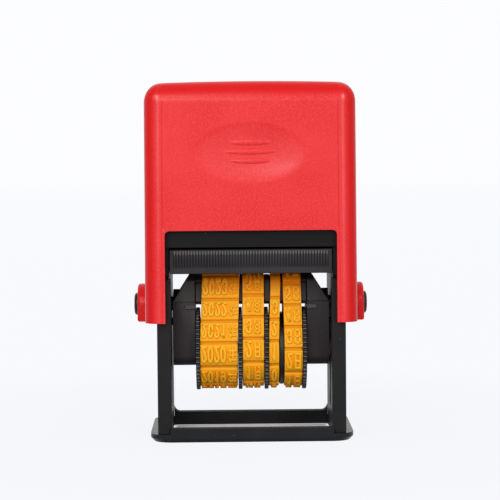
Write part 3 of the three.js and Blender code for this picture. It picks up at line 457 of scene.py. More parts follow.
def makeCap(look):
    shareX, shareY, cosine, sine, windowShare = capColumns().T
    aside = np.abs(windowShare)
    count = len(aside)
    steps = np.linspace(0, np.pi / 2, 9)[1:]
    bend = look["windowRound"]
    straight = look["windowTop"] - bend
    legRows = spread((look["legBottom"], 40.0, 4), (straight, 6))
    lowRows = np.r_[legRows, straight + bend * np.sin(steps)]
    windowX = look["windowHalf"] - bend + bend * np.r_[np.ones(len(legRows)), np.cos(steps)]
    windowRow = len(lowRows) - 1
    edgeZ = look["top"] - look["arch"]
    roundStart = edgeZ - look["round"][2]
    turn = np.linspace(0, np.pi / 2, 15)[1:]
    roof = np.linspace(1, 0, 9)[1:]

    def liftOf(upRows):
        # how far each row has turned over the rounded edge: 0 on the walls, a quarter turn on the roof
        return np.r_[0 * lowRows, 0 * upRows, turn, 0 * roof + turn[-1]][:, None]

    def skin(upRows, half, halfDepth, corner, roundSize, top, draft):
        # a rounded rectangle at each height, its corners longer along x than along y; rows: the legs, the
        # face above the window, the rounded edge, and the roof shrinking to its middle
        lift = liftOf(upRows)
        flat = len(lowRows) + len(upRows)
        heights = top - roundSize[2] * (1 - np.sin(lift))
        heights[:flat, 0] = [*lowRows, *upRows]
        drafted = draft * np.minimum((heights - heights[0]) / (heights[flat - 1] - heights[0]), 1) - draft / 2
        insetX, insetY = [drafted + size * (1 - np.cos(lift)) for size in roundSize[:2]]
        cornerY = corner * (1 - (1 - look["cornerKeep"]) * lift / turn[-1])
        cornerX = cornerY * look["wideCorner"]
        reachX = half - insetX - cornerX
        reachY = halfDepth - insetY - cornerY
        edge = np.pad(windowX, (0, len(heights) - len(windowX)), "edge")[:, None]
        onLeg = np.sign(windowShare) * (edge + (aside - 1) / 1.25 * (reachX - edge))
        x = shareX * reachX + cornerX * cosine
        x = np.select([aside <= 1, aside < 5], [windowShare * edge, onLeg], x)
        y = shareY * reachY + cornerY * sine
        shrink = np.r_[np.ones(flat + len(turn)), roof][:, None]
        return joined(x * shrink, y * shrink, heights)

    outerRows = spread(
        (look["windowTop"], 68.2, 10), (72.8, 18), (81.2, 84), (85.8, 18), (roundStart, 6))[1:]
    outer = skin(outerRows, *pick(look, "half halfDepth corner round"), edgeZ, look["draft"])
    seam = np.abs(aside - 2.0) < 0.01
    relief = capRelief(outer[:, :, 0], outer[:, :, 2], look) + look["seamDepth"] * seam
    relief = relief * (outer[:, :, 2] < roundStart + 0.01)
    outer[:, :, 1] -= np.where(aside < 5, sine, 0) * relief
    riseShare = np.clip((outer[:, :, 2] - roundStart) / look["round"][2], 0, 1)
    outer[:, :, 2] += look["arch"] * riseShare * (1 - (outer[:, :, 0] / look["half"]) ** 2)
    innerRound, innerTop = pick(look, "innerRound innerTop")
    innerRows = spread((look["windowTop"], innerTop - innerRound, 8))[1:]
    inner = skin(innerRows, *pick(look, "innerHalf innerDepth innerCorner"), [innerRound] * 3, innerTop, 0)

    window = aside <= 1
    opening = window & np.roll(window, -1)

    def openQuads(grid):
        quads = gridQuads(grid.shape[0], count, False, True)
        row, column = np.divmod(quads[:, 0], count)
        return quads[~((row < windowRow) & opening[column])]

    # the rim: round the window from one leg's bottom to the other's, then along the leg's bottom edge
    starts = [k for k in range(count) if window[k] and not window[k - 1]]
    ends = [k for k in range(count) if window[k] and not window[(k + 1) % count]]
    rim = []
    for start, end, after in zip(starts, ends, starts[1:] + [starts[0] + count]):
        rim += [row * count + start for row in range(windowRow)]
        rim += [windowRow * count + k for k in range(start, end + 1)]
        rim += [row * count + end for row in range(windowRow - 1, -1, -1)]
        rim += [k % count for k in range(end + 1, after)]
    rim = np.array(rim)
    onward = np.roll(rim, -1)
    offset = outer.shape[0] * count
    rimQuads = joined(rim, onward, onward + offset, rim + offset)
    points = np.concatenate([outer.reshape(-1, 3), inner.reshape(-1, 3)])
    quads = np.concatenate([openQuads(outer), (openQuads(inner) + offset)[:, ::-1], rimQuads[:, ::-1]])
    if volumeOf(points, quads) < 0:
        quads = quads[:, ::-1]
    # the panel ends where the rounded edge has turned away by some 40 degrees, and starts again on the roof
    lift = liftOf(outerRows)
    around = np.minimum(np.arccos(np.abs(cosine)), np.arccos(np.abs(sine)))
    tilt = np.minimum(np.hypot(lift, around), np.pi / 2 - lift)
    panel = np.clip(1 - tilt / look["panelEnd"], 0, 1)
    # the seam's line is painted in the deeper edge red: painted shade in its groove
    panel = np.where(seam & (lift < 0.1), look["seamShadePanel"], panel)
    bends = np.exp(-((around - 0.18) / 0.11) ** 2)
    polish = bends * (look["bendPolish"] + look["cornerPolish"] * np.exp(-((lift - 0.27) / 0.15) ** 2))
    looks = {"panel": panel, "polish": polish + look["dishPolish"] * np.clip(relief * 2.5, 0, 1)}
    hidden = np.zeros(inner.size // 3)
    looks = {key: np.r_[values.reshape(-1), hidden] for key, values in looks.items()}
    shell = addPiece("capShell", [(points, quads)], "cap", "redPlastic", 42, looks)
    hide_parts("press_cap")
    softenEdges(shell, 0.4, 3, 62)


def makeBosses(look):
    # a D-shaped outline carried out from the cap's side, its edge rounded over, and closed in to the bore;
    # and the post inside that guides the spring
    radius, bevel, bore, outer = pick(look, "bossRadius bossBevel bore bossOuter")
    start = look["innerHalf"] + 0.6
    drop = pivotHeight - look["legBottom"] + look["bossDrop"]
    angle = np.linspace(0, np.pi, 33)
    down = np.linspace(0, -drop, 7)[1:-1]
    foot = np.linspace(-radius, radius, 15)
    y = np.r_[radius * np.cos(angle), np.full(5, -radius), foot, np.full(5, radius)]
    z = np.r_[radius * np.sin(angle), down, np.full(15, -drop), down[::-1]]
    way = np.arctan2(z, y)
    levels = [(start, 1), (look["half"] + 1, 1)]
    for step in np.linspace(0, np.pi / 2, 6):
        levels.append((outer - bevel * (1 - math.sin(step)), 1 - bevel * (1 - math.cos(step)) / radius))
    rows = [joined(x, y * share, z * share) for x, share in levels]
    rows += [joined(x, bore * np.cos(way), bore * np.sin(way)) for x in (outer, start)]
    grid = np.stack(rows) + [0, 0, pivotHeight]
    shells = [shellOf(grid, True), shellOf(grid * [-1, 1, 1], True)]
    addPiece("capBosses", shells, "cap", "redPlastic", 40)
    top, low = look["innerTop"] + 0.5, look["innerTop"] - look["postLength"]
    inside, outside = pick(look, "postBore postRadius")
    profile = [(low, inside), (low, outside - 0.3), (low + 0.3, outside), (top, outside), (top, inside)]
    post = turned(*np.array(profile).T[:, :, None], 40)[:, :, [1, 2, 0]]
    addPiece("capPost", [shellOf(post, True)], "cap", "redPlastic", 40)


makeCap(cap)
makeBosses(cap)
print("stage: cap made")


lips = {"inner": 21.5, "outer": 22.4, "front": -15.56, "rear": -12.2, "low": 3.5, "high": 43.8, "round": 0.2}
catches = {"inner": 15.2, "outer": 18.0, "root": 6.3, "front": 7.3, "low": 34.95, "high": 36.0, "round": 0.22}


def makeLips(look):
    # the uprights' front edges stand a little further in than the walls behind them
    corners = np.array([pick(look, "inner front"), pick(look, "outer rear")])
    centre, sizes = corners.mean(axis=0), np.ptp(corners, axis=0) / 2
    angle = (np.arange(24) + 0.5) * np.pi / 12
    way = joined(np.cos(angle), np.sin(angle))
    ring = centre + np.sign(way) * (sizes - look["round"]) + way * look["round"]
    low, high = look["low"], look["high"]
    grid = stacked(ring, [(low, 0), (low, 1), (high - 0.15, 1), (high, 0.85), (high, 0)])
    shells = [shellOf(grid), shellOf(grid * [-1, 1, 1])]
    addPiece("frameLips", shells, "frame", "frameBlack", 40)


def makeCatches(look):
    # the small catches on the front and rear faces of the arms, just under the platen's ends, painted
    # lighter all over as a painted highlight
    inner, outer, root, front, low, high = pick(look, "inner outer root front low high")
    ring = np.array([(inner, root), (outer, root), (outer, front), (inner, front)])
    grid = stacked(ring, [(low, 0), (low, 1), (high, 1), (high, 0)])
    shells = [shellOf(grid * [side, end, 1]) for side in (1, -1) for end in (1, -1)]
    highlightShare = np.ones(len(shells) * grid.size // 3)
    piece = addPiece("armCatches", shells, "date_unit", "unitBlack", 30, {"crest": highlightShare})
    softenEdges(piece, look["round"], 2, 50)


softCopy("frame", "sideFrame", "frame", "frameBlack", 0.28)
softCopy("base_foot", "openFoot", "frame", "footBlack", 0.4, 3)
softCopy("wheel_bracket", "wheelArms", "date_unit", "unitBlack", 0.3, halfDepth=6.8)
makeLips(lips)
makeCatches(catches)
print("stage: frame, foot and bracket made")


band = {
    "wheelRadius": 8.95, "cornerRadius": 1.6, "cornerY": 3.6, "cornerZ": 5.3, "wheelDrop": 12.5,
    "base": 0.9, "cell": 0.65, "groove": 0.7, "edge": 0.22, "cells": 13, "trayShade": (4.2, 10.2),
    "type": 0.55, "typeHeight": 3.85, "typeShift": -0.22, "stroke": 0.28, "strokeFoot": 0.36,
    "thin": {"Y": 0.62, "M": 0.74, "D": 0.86},
}
bands = {
    "year": {
        "start": -13.9, "width": 10.2, "phase": 0.23, "lean": 0.6, "size": 1.6, "wide": 2.55,
        "places": [-4.05, -2.35, -0.6, 1.1, 3.6], "text": [f"{2024 - k}Y" for k in range(12)] + [""]},
    "month": {
        "start": -2.35, "width": 5.8, "phase": 0.035, "lean": 0.1, "size": 1.7, "wide": 2.0,
        "places": [-1.27, 1.0], "text": "6M,5M,4M,3M,2M,1M,12M,11M,10M,9M,8M,7M,".split(",")},
    "tens": {
        "start": 4.8, "width": 2.7, "phase": 0.165, "lean": 0.55, "size": 1.5, "wide": 1.6, "places": [0.0],
        "text": "0,,3,2,1,0,3,2,1,0,,,".split(",")},
    "ones": {
        "start": 9.0, "width": 4.9, "phase": 0.515, "lean": -0.3, "size": 1.55, "wide": 1.85,
        "places": [-1.15, 1.1], "text": "6D,5D,4D,3D,2D,1D,0D,9D,8D,7D,,,".split(",")},
}

# strokes of each sign, in hundredths of its width and height: an "o" curve is smooth, a "-" line goes
# straight from point to point. Y, M and D stand for year, month and day
strokes = {
    "1": ["- 20,78 58,100 58,0"],
    "2": ["o 3,74 12,93 38,100 72,98 96,80 90,58 50,28 2,0", "- 2,0 100,0"],
    "3": ["o 4,80 18,96 50,100 82,94 92,76 78,57 40,53", "o 40,53 85,48 100,27 86,5 48,0 14,5 0,22"],
    "4": ["- 72,0 72,100 0,27 100,27"],
    "5": ["- 92,100 16,100 8,55", "o 8,55 38,64 76,60 98,40 95,18 72,2 38,0 10,7 0,20"],
    "6": ["o 90,86 70,98 42,99 12,80 0,42 10,12 35,0 66,0 94,14 96,40 74,58 40,60 8,42"],
    "7": ["- 0,100 100,100 35,0"],
    "Y": [
        "- 30,100 5,70", "- 24,86 93,86", "- 24,56 88,56", "- 24,56 24,27", "- 0,27 100,27", "- 57,86 57,0"],
    "M": ["- 10,0 20,36 20,100 92,100 92,4 72,2", "- 20,70 92,70", "- 20,40 92,40"],
    "D": ["- 5,0 5,100 95,100 95,0 5,0", "- 5,50 95,50"],
}


def strokeOf(line):
    # a stroke's kind, and its points as shares of the sign's width and height
    return line[0], [[int(number) / 100 for number in spot.split(",")] for spot in line[2:].split()]


signs = {word: [strokeOf(line) for line in lines] for word, lines in strokes.items()}
circle = [(0.5 + 0.5 * math.cos(a), 0.5 + 0.5 * math.sin(a)) for a in np.linspace(0, 2 * math.pi, 13)]
signs["0"] = [("o", circle)]
signs["8"] = [("o", [(x, 0.5 + 0.5 * y) for x, y in circle]), ("o", [(x, 0.5 * y) for x, y in circle])]
signs["9"] = [("o", [(1 - x, 1 - y) for x, y in signs["6"][0][1]])]


def loopSizes(look):
    # the angle and length of the corner's arc, the length of the straight run, and half the loop's length
    cornerY, cornerZ, drop, small, large = pick(look, "cornerY cornerZ wheelDrop cornerRadius wheelRadius")
    reach = math.hypot(cornerY, cornerZ + drop)
    lean = math.atan2(cornerY, cornerZ + drop) + math.acos((large - small) / reach)
    run = math.sqrt(reach ** 2 - (large - small) ** 2)
    return lean, small * lean, run, cornerY + small * lean + run + large * (math.pi - lean)


loopLean, loopCorner, loopRun, loopHalf = loopSizes(band)


def fromTop(distance):
    # how far a place on the band is from the middle of the platen's top, the shorter way round
    wrapped = np.mod(distance, 2 * loopHalf)
    return np.minimum(wrapped, 2 * loopHalf - wrapped)


def loopPlace(distance, rise, look):
    # the band's path in (y, z) about the pivot axis: flat top, corner arc, straight run, arc round the wheel
    d = fromTop(distance)
    cornerY, cornerZ = look["cornerY"], look["cornerZ"]
    small, large = look["cornerRadius"] + rise, look["wheelRadius"] + rise
    turn = (d - cornerY) / look["cornerRadius"]
    along = d - cornerY - loopCorner
    around = loopLean + (along - loopRun) / look["wheelRadius"]
    sine, cosine = math.sin(loopLean), math.cos(loopLean)
    where = [d < cornerY, along < 0, along < loopRun]
    y = [d, cornerY + small * np.sin(turn), cornerY + small * sine + along * cosine]
    z = [cornerZ + small, cornerZ + small * np.cos(turn), cornerZ + small * cosine - along * sine]
    y = np.select(where, y, large * np.sin(around))
    z = np.select(where, z, large * np.cos(around) - look["wheelDrop"])
    return np.where(np.mod(distance, 2 * loopHalf) <= loopHalf, -y, y), z


def ontoBand(grid, centre, lean, look):
    # a grid of (x, distance along the band, rise) laid onto its loop. A band is lean mm further to the
    # right on the platen than on its wheel
    x, distance, rise = np.moveaxis(grid, -1, 0)
    y, z = loopPlace(distance, rise, look)
    shift = lean * np.clip(1 - (fromTop(distance) - look["cornerY"] - loopCorner) / loopRun, 0, 1)
    return joined(centre + shift + x, y, z + pivotHeight)


def smoothPath(points):
    # a Catmull-Rom curve through the points, worked out for all legs at once
    ends = np.concatenate([[2 * points[0] - points[1]], points, [2 * points[-1] - points[-2]]])
    t = np.linspace(0, 1, 5, endpoint=False)[None, :, None]
    a, b, c, d = (ends[k:len(ends) - 3 + k][:, None, :] for k in range(4))
    curve = 0.5 * (
        2 * b + (c - a) * t + (2 * a - 5 * b + 4 * c - d) * t ** 2 + (3 * b - a - 3 * c + d) * t ** 3)
    return np.concatenate([curve.reshape(-1, 2), points[-1:]])


def strokeGrid(path, look, thin):
    # a ridge carried along the path: narrow on top, wider at its foot, with round ends; as (x, along, rise)
    ahead = np.gradient(path, axis=0)
    ahead /= np.linalg.norm(ahead, axis=1)[:, None]
    foot, top, high = look["strokeFoot"] * thin, look["stroke"] * thin, look["type"]
    ends = np.array([1.0, 0.75, 0.35])
    widths = np.array([0, *np.sqrt(1 - ends[1:] ** 2)])
    first = path[0] - top * ends[:, None] * ahead[0]
    last = path[-1] + top * ends[::-1, None] * ahead[-1]
    spine = np.r_[first, path, last]
    heading = np.pad(ahead, ((3, 3), (0, 0)), "edge")
    width = np.r_[widths, np.ones(len(path)), widths[::-1]][:, None]
    across = np.array([-foot, -foot, -top - 0.04, -top + 0.04, 0, top - 0.04, top + 0.04, foot, foot])
    rise = np.array([-0.1, 0.03, high - 0.08, high, high, high, high - 0.08, 0.03, -0.1])
    x = spine[:, :1] - heading[:, 1:] * across * width
    return joined(x, spine[:, 1:] + heading[:, :1] * across * width, rise)


def textGrids(text, spec, look):
    # the strokes of one cell's text, in mm about the cell's middle; the text stands head down on the front
    places, size, wide = pick(spec, "places size wide")
    if len(text) == 3:
        spots = [(places[0] - 0.42, size * 0.62), (places[0] + 0.62, size * 0.62), (places[1], wide)]
    else:
        spots = [(place, wide if word in "YMD" else size) for place, word in zip(places, text)]
    grids = []
    for word, (centre, width) in zip(text, spots):
        thin = look["thin"].get(word, 1)
        edge = 2 * look["stroke"] * thin
        for kind, points in signs[word]:
            points = (np.array(points) - 0.5) * [width - edge, look["typeHeight"] - edge] + [centre, 0]
            paths = [smoothPath(points)]
            if kind == "-":
                legs = np.linalg.norm(np.diff(points, axis=0), axis=1)
                counts = [max(2, int(leg / 0.5) + 1) for leg in legs]
                paths = [np.linspace(*run) for run in zip(points, points[1:], counts)]
            grids += [strokeGrid(path, look, thin) for path in paths]
    return grids


def makeBand(name, spec, look):
    pitch = 2 * loopHalf / look["cells"]
    centre = spec["start"] + spec["width"] / 2
    level = look["base"] + look["cell"]
    # one cell along the band: groove floor, a steep side, the flat face, and the same back
    groove, edge = look["groove"] / 2, look["edge"]
    share = np.array([0, groove * 0.7, groove, groove + edge * 0.35, groove + edge])
    height = np.array([0, 0, 0.12, 0.82, 1.0])
    face = np.linspace(share[-1], pitch - share[-1], 11)
    along = np.r_[share, face[1:-1], (pitch - share)[:0:-1]]
    rise = np.r_[height, np.ones(9), height[:0:-1]]
    starts = (np.arange(look["cells"]) - 0.5 + spec["phase"]) * pitch
    distance = (starts[:, None] + along).reshape(-1, 1)
    top = look["base"] + look["cell"] * np.tile(rise, look["cells"])[:, None]
    # the band's section: its back from left to right, then the top from right to left with rounded sides
    wide = spec["width"] / 2
    half = wide / 2
    right = [wide, wide - 0.05, wide - 0.2, half]
    across = np.array([-wide, -half, half, wide, *right, 0, *[-x for x in right[::-1]]])
    drop = np.array([0.22, 0.05, 0, 0, 0, 0, 0, 0.05, 0.22])
    section = np.concatenate([np.zeros((len(top), 4)), top - drop], axis=1)
    grids = [joined(across, distance, section)]
    # round the signs the cell's middle is painted a deeper orange: painted shade between the signs
    beside = np.abs(np.mod(distance / pitch - spec["phase"] + 0.5, 1) - 0.5) * pitch
    signed = np.repeat([text != "" for text in spec["text"]], len(along))[:, None]
    wellShade = np.clip((look["typeHeight"] / 2 + 0.25 - beside) / 0.45, 0, 1) * signed
    wellShade = wellShade * (np.abs(across) < wide - 0.3)
    for cell, text in enumerate(spec["text"]):
        middle = (cell + spec["phase"]) * pitch + look["typeShift"]
        grids += [grid + [0, middle, level] for grid in textGrids(text, spec, look)]
    shells = [shellOf(ontoBand(grid, centre, spec["lean"], look), k == 0) for k, grid in enumerate(grids)]
    flat = np.concatenate([grid.reshape(-1, 3) for grid in grids])
    # trayShadow marks the cells nearest the platen's top for painted shade from the tray above
    looks = {
        "rise": flat[:, 2], "wellShade": np.r_[wellShade.reshape(-1), np.ones(len(flat) - wellShade.size)],
        "trayShadow": np.interp(fromTop(flat[:, 1]), look["trayShade"], [1, 0])}
    piece = addPiece(f"{name}Band", shells, "date_unit", "orangeRubber", 50, looks)
    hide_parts(f"{name}_band")


for bandName, spec in bands.items():
    makeBand(bandName, spec, band)
print("stage: bands made")


wheel = {
    "height": 23.45, "bore": 1.75, "hub": 8.5, "flange": 11.35, "flangeWide": 1.05, "disc": 10.0,
    "discWide": 1.2, "teeth": 54, "toothDepth": 0.5, "perTooth": 12,
}
wheels = {
    "year": {"start": -15.05, "length": 11.45, "flange": "left"},
    "month": {"start": -3.5, "length": 7.05, "flange": "left"},
    "tens": {"start": 3.65, "length": 3.95, "flange": "left"},
    "ones": {"start": 7.7, "length": 7.35, "flange": "right"},
}


def rimRows(start, wide, radius, corners):
    # a disc's rim from its left face to its right; each corner: distance in, distance down, how far teeth cut
    rows = [(start + inward, radius - down, cut) for inward, down, cut in corners]
    return rows + [(start + wide - inward, radius - down, cut) for inward, down, cut in corners[::-1]]


def makeWheel(name, spec, look):
    # the profile turned about the shaft; on the flange's rim narrow crests stand between wide dips. A wheel
    # with its flange on the right has a plain disc on the left
    bore, hub, flange, wide, disc, discWide = pick(look, "bore hub flange flangeWide disc discWide")
    length = spec["length"]
    toothed = [(0, 1.0, 0), (0, 0.16, 0.8), (0.12, 0, 1)]
    plain = [(0, 0.2, 0), (0.06, 0.06, 0), (0.2, 0, 0)]
    if spec["flange"] == "left":
        rows = rimRows(0, wide, flange, toothed) + [(wide, hub, 0), (length, hub, 0)]
    else:
        rows = rimRows(0, discWide, disc, plain) + [(discWide, hub, 0), (length - wide, hub, 0)]
        rows += rimRows(length - wide, wide, flange, toothed)
    x, radius, cut = np.array([(0, bore, 0)] + rows + [(length, bore, 0)]).T[:, :, None]
    columns = look["teeth"] * look["perTooth"]
    angle = np.arange(columns) * 2 * np.pi / columns
    crest = cut * (0.5 + 0.5 * np.cos(look["teeth"] * angle)) ** 1.5
    radius = radius - (cut - crest) * look["toothDepth"]
    shell = shellOf(turned(x + spec["start"], radius, columns) + [0, 0, look["height"]], True)
    # the crests' share also paints the teeth a lighter grey: a painted glint
    piece = addPiece(
        f"{name}Wheel", [shell], f"{name}_setting", "wheelBlack", 40, {"crest": crest})
    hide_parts(f"{name}_wheel")


for wheelName, spec in wheels.items():
    makeWheel(wheelName, spec, wheel)
print("stage: wheels made")


platen = {
    "half": 21.3, "chamferRun": 4.5, "bottom": 1.0, "shoulderTop": 8.2, "skirt": 7.0, "shoulder": 6.0,
    "bevel": 1.4, "shoulderStart": 15.2, "recess": 1.5, "divider": (3.65, 5.3), "dividerTop": 7.6,
    "ridges": [(-15.4, -13.35), (-3.05, -2.3), (8.1, 8.65), (13.65, 15.4)], "barGap": 4.3,
    "coreY": 3.6, "coreZ": 5.3, "coreRound": 1.4,
}


def saddlePrism(saddle, right, leftX, rightX):
    # a block that straddles the bar; its outside is the right half of an outline and the mirror image. leftX
    # and rightX may depend on the height. Each end is a strip between the saddle and the outside
    paths = [np.array(saddle), np.array([(-y, z) for y, z in right] + right[::-1])]
    lengths = [np.cumsum([0, *np.linalg.norm(np.diff(path, axis=0), axis=1)]) for path in paths]
    shares = [length / length[-1] for length in lengths]
    every = np.unique(np.concatenate(shares).round(6))
    inner, outside = [
        joined(*[np.interp(every, share, path[:, k]) for k in (0, 1)]) for share, path in zip(shares, paths)]
    rows = []
    for path, side in ((inner, leftX), (outside, leftX), (outside, rightX), (inner, rightX)):
        rows.append(joined(side(path[:, 1]) if callable(side) else side, path[:, 0], path[:, 1]))
    return np.stack(rows)


def makePlaten(look):
    # the core that the bands run over, a shoulder at each side, the divider, and low ridges between the bands
    bottom, top, gap, bevel, start = pick(look, "bottom shoulderTop barGap bevel shoulderStart")
    coreY, coreZ, size, skirt, depth, high = pick(look, "coreY coreZ coreRound skirt shoulder dividerTop")
    first = math.asin(bottom / gap)
    saddle = [(-gap * math.cos(a), gap * math.sin(a)) for a in np.linspace(first, math.pi - first, 13)]
    arc = [(coreY + size * math.sin(a), coreZ + size * math.cos(a)) for a in np.linspace(loopLean, 0, 7)]
    foot = arc[0][0] + (arc[0][1] - bottom) / math.tan(loopLean)
    wall, ridge = [
        [(skirt - inset, bottom), (depth - inset, top - bevel), (depth - inset - bevel, top)]
        for inset in (0, look["recess"])]
    divider = [(skirt - 0.6, bottom), (depth - 0.2, high - 0.9), (depth - 0.8, high)]

    def slope(z):
        return look["half"] - look["chamferRun"] * (z - bottom) / (top - bottom)

    blocks = [
        ([(foot, bottom)] + arc, -start, start), (wall, lambda z: -slope(z), -start), (wall, start, slope),
        (divider, *look["divider"])]
    blocks += [(ridge, *ends) for ends in look["ridges"]]
    shells = [shellOf(saddlePrism(saddle, *block) + [0, 0, pivotHeight], True, False) for block in blocks]
    piece = addPiece("platenSaddle", shells, "date_unit", "unitBlack", 30)
    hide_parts("platen_block")
    softenEdges(piece, 0.25, 2, 35)


makePlaten(platen)
print("stage: platen made")


tray = {
    "half": 21.65, "front": -15.2, "rear": 13.1, "bottom": 45.05, "height": 6.5, "wall": 1.8, "roof": 1.4,
    "groove": (2.0, 3.6), "grooveHalf": 20.65,
    "ribs": 55, "perRib": 6, "ribDepth": 0.3, "smoothBand": 1.6, "ribbedHalf": 20.75, "frontWall": 2.4,
}
pad = {"half": (19.55, 11.75), "centreY": -0.75, "low": 45.1, "thick": 4.6, "crown": 0.35}


def makeTray(look):
    # a cup turned over: round its walls, over the top, down outside with the rails' grooves, and up inside
    half, front, rear, high, smooth, ribbed = pick(look, "half front rear height smoothBand ribbedHalf")
    ribX = np.linspace(-ribbed, ribbed, look["ribs"] * look["perRib"] + 1)
    middle = (half + ribbed) / 2
    frontX = np.r_[-half, -half + 0.25, -middle, ribX, middle, half - 0.25]
    behind = front + look["frontWall"]
    sideY = np.r_[front, behind - 0.05, np.linspace(behind, rear, 5)[:-1]]
    x = np.r_[frontX, np.full(6, half), np.linspace(half, -half, 8)[:-1], np.full(6, -half)]
    y = np.r_[np.full(len(frontX), front), sideY, np.full(8, rear), sideY[:0:-1]]
    grooved = np.where(y > behind - 0.01, np.clip(x, -look["grooveHalf"], look["grooveHalf"]), x)
    onFront = np.arange(len(x)) < len(frontX)
    ripple = 0.5 - 0.5 * np.cos((x + ribbed) / (2 * ribbed) * look["ribs"] * 2 * np.pi)
    wave = np.where(onFront & (np.abs(x) <= ribbed), ripple, 0) ** 0.7
    low, upper = look["groove"]
    middleY = (front + rear) / 2
    rows = []
    crests = []
    # each level: height, share of the ring, how far the edge is drawn in (-1 where the ribs stand out, -2
    # where the rails' grooves run too), and the share of painted highlight on the ribs, most at their upper
    # ends
    for z, share, edge, highlightShare in (
            (high, 0, 0, 0), (high, 0.97, 0, 0), (high - 0.05, 1, 0.15, 0), (high - 0.2, 1, 0, 0),
            (high - 0.35, 1, 0, 0.5), (high - 0.55, 1, -1, 1), (high - 1.0, 1, -1, 1),
            (high - 1.5, 1, -1, 0.35), (upper, 1, -1, 0.2), (upper, 1, -2, 0.2), (low, 1, -2, 0.1),
            (low, 1, -1, 0.1), (smooth + 0.3, 1, -1, 0.35), (smooth, 1, 0, 0), (smooth - 0.2, 1, 0, 0),
            (0.25, 1, 0, 0), (0.05, 1, 0.15, 0), (0, 1, 0.4, 0)):
        ringX = grooved if edge < -1 else x
        out = look["ribDepth"] * wave if edge < 0 else -edge * onFront
        rows.append(joined(share * ringX, middleY + share * (y - middleY) - out, z))
        crests.append(highlightShare * wave)
    innerX = np.clip(x, -half + look["wall"], half - look["wall"])
    innerY = np.clip(y, behind, rear - look["wall"])
    for z, share in ((0, 1), (high - look["roof"], 1), (high - look["roof"], 0)):
        rows.append(joined(share * innerX, middleY + share * (innerY - middleY), z))
        crests.append(0 * wave)
    shell = shellOf(np.stack(rows) + [0, 0, look["bottom"]])
    looks = {"crest": np.array(crests)}
    piece = addPiece("inkTray", [shell], "ink_cassette", "trayBlack", 34, looks)
    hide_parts("pad_tray")


def makePad(look):
    # a soaked felt block: a rounded box whose faces swell slightly towards their middles
    u = np.linspace(-np.pi, np.pi, 96, endpoint=False)
    v = np.linspace(-np.pi / 2, np.pi / 2, 33)[:, None]

    def power(value, exponent):
        return np.sign(value) * np.abs(value) ** exponent

    ringX = power(np.cos(v), 0.12) * power(np.cos(u), 0.14)
    ringY = power(np.cos(v), 0.12) * power(np.sin(u), 0.16)
    crown = look["crown"] * (1 - ringX ** 2) * (1 - ringY ** 2)
    half = look["thick"] / 2
    height = look["low"] + half + power(np.sin(v), 0.25) * (half - look["crown"] + crown)
    grid = joined(look["half"][0] * ringX, look["half"][1] * ringY + look["centreY"], height)
    piece = addPiece("inkPad", [shellOf(grid)], "ink_cassette", "inkedFelt", 60)
    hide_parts("ink_pad")


makeTray(tray)
makePad(pad)
print("stage: cassette made")


pin = {"inner": 17.1, "radius": 2.0, "seat": 31.05, "head": 3.05, "headThick": 0.95, "dome": 0.9}
spring = {"seat": 53.65, "length": 40.15, "radius": 5.5, "wire": 1.0, "turns": 9, "gap": 0.1, "perTurn": 40}


def makePin(side, name, look):
    # a shank and a low domed head, turned about the pivot axis
    inner, radius, seat, head, thick, dome = look.values()
    profile = [(inner, 0), (inner, radius - 0.5), (inner + 0.5, radius), (seat, radius), (seat, head - 0.06)]
    profile.append((seat + 0.06, head))
    for turn in np.linspace(0, np.pi / 2, 9):
        profile.append((seat + thick * (0.35 + 0.65 * math.sin(turn)), head - dome + dome * math.cos(turn)))
    profile.append((seat + thick, 0))
    grid = (turned(*np.array(profile).T[:, :, None], 48) + [0, 0, pivotHeight]) * [side, 1, 1]
    piece = addPiece(name, [shellOf(grid)], "date_unit", "pinBlack", 40)
    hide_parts("pivot_pin_left" if side < 0 else "pivot_pin_right")


def makeSpring(look):
    # a round wire carried up a helix; closed and ground end turns are left out
    turns, radius, wire = look["turns"], look["radius"], look["wire"] / 2
    count = turns * look["perTurn"] + 1
    share = np.linspace(0, 1, count)
    angle = 2 * np.pi * turns * share
    low = look["gap"] + wire
    climb = look["length"] - 2 * low
    outward = joined(np.cos(angle), np.sin(angle), 0)
    forward = joined(-radius * np.sin(angle), radius * np.cos(angle), climb / (2 * np.pi * turns))
    forward /= np.linalg.norm(forward, axis=1)[:, None]
    upward = np.cross(outward, forward)
    centre = radius * outward + joined(0, 0, look["seat"] + low + share * climb)
    ring = np.arange(12)[None, :, None] * np.pi / 6
    thick = np.array([0, *np.full(count - 2, wire), 0])[:, None, None]
    grid = centre[:, None] + thick * (np.cos(ring) * outward[:, None] + np.sin(ring) * upward[:, None])
    piece = addPiece("liftSpring", [shellOf(grid)], "frame", "springSteel", 60)
    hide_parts("return_spring")
    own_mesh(piece)


makePin(-1, "pinLeft", pin)
makePin(1, "pinRight", pin)
makeSpring(spring)
for nodeName in ("wheel_shaft", "shaft_clip"):
    nodes[nodeName].data.materials.clear()
    nodes[nodeName].data.materials.append(finishes["springSteel"])
print("stage: pins, shaft and spring made")


studio = {
    "backdrop": (0.974, 0.976, 0.991, 1), "table": (0.939, 0.947, 0.982, 1), "worldLight": 0.5,
    "floorGrey": 0.5, "floorSide": 12.0, "floorNear": 0.08, "floorInside": 0.8,
    # each lamp: azimuth and elevation in degrees, width and height in metres, power in watts
    "lampDistance": 1.0, "lamps": [
        (-13, 31, 0.24, 0.24, 1.1), (24, 28, 0.24, 0.24, 1.1), (-34, 30, 0.34, 0.34, 1.1),
        (-17, 9, 0.18, 0.5, 1.05), (23, 8, 0.18, 0.5, 1.1), (-6.5, 15.5, 0.16, 0.16, 0.9)],
}
view = {
    "position": (-5.15, -460, 75.5), "focalPixels": 1670, "centre": (231.5, 159.4), "roll": 0.48,
    "picture": 500, "sensor": 36}


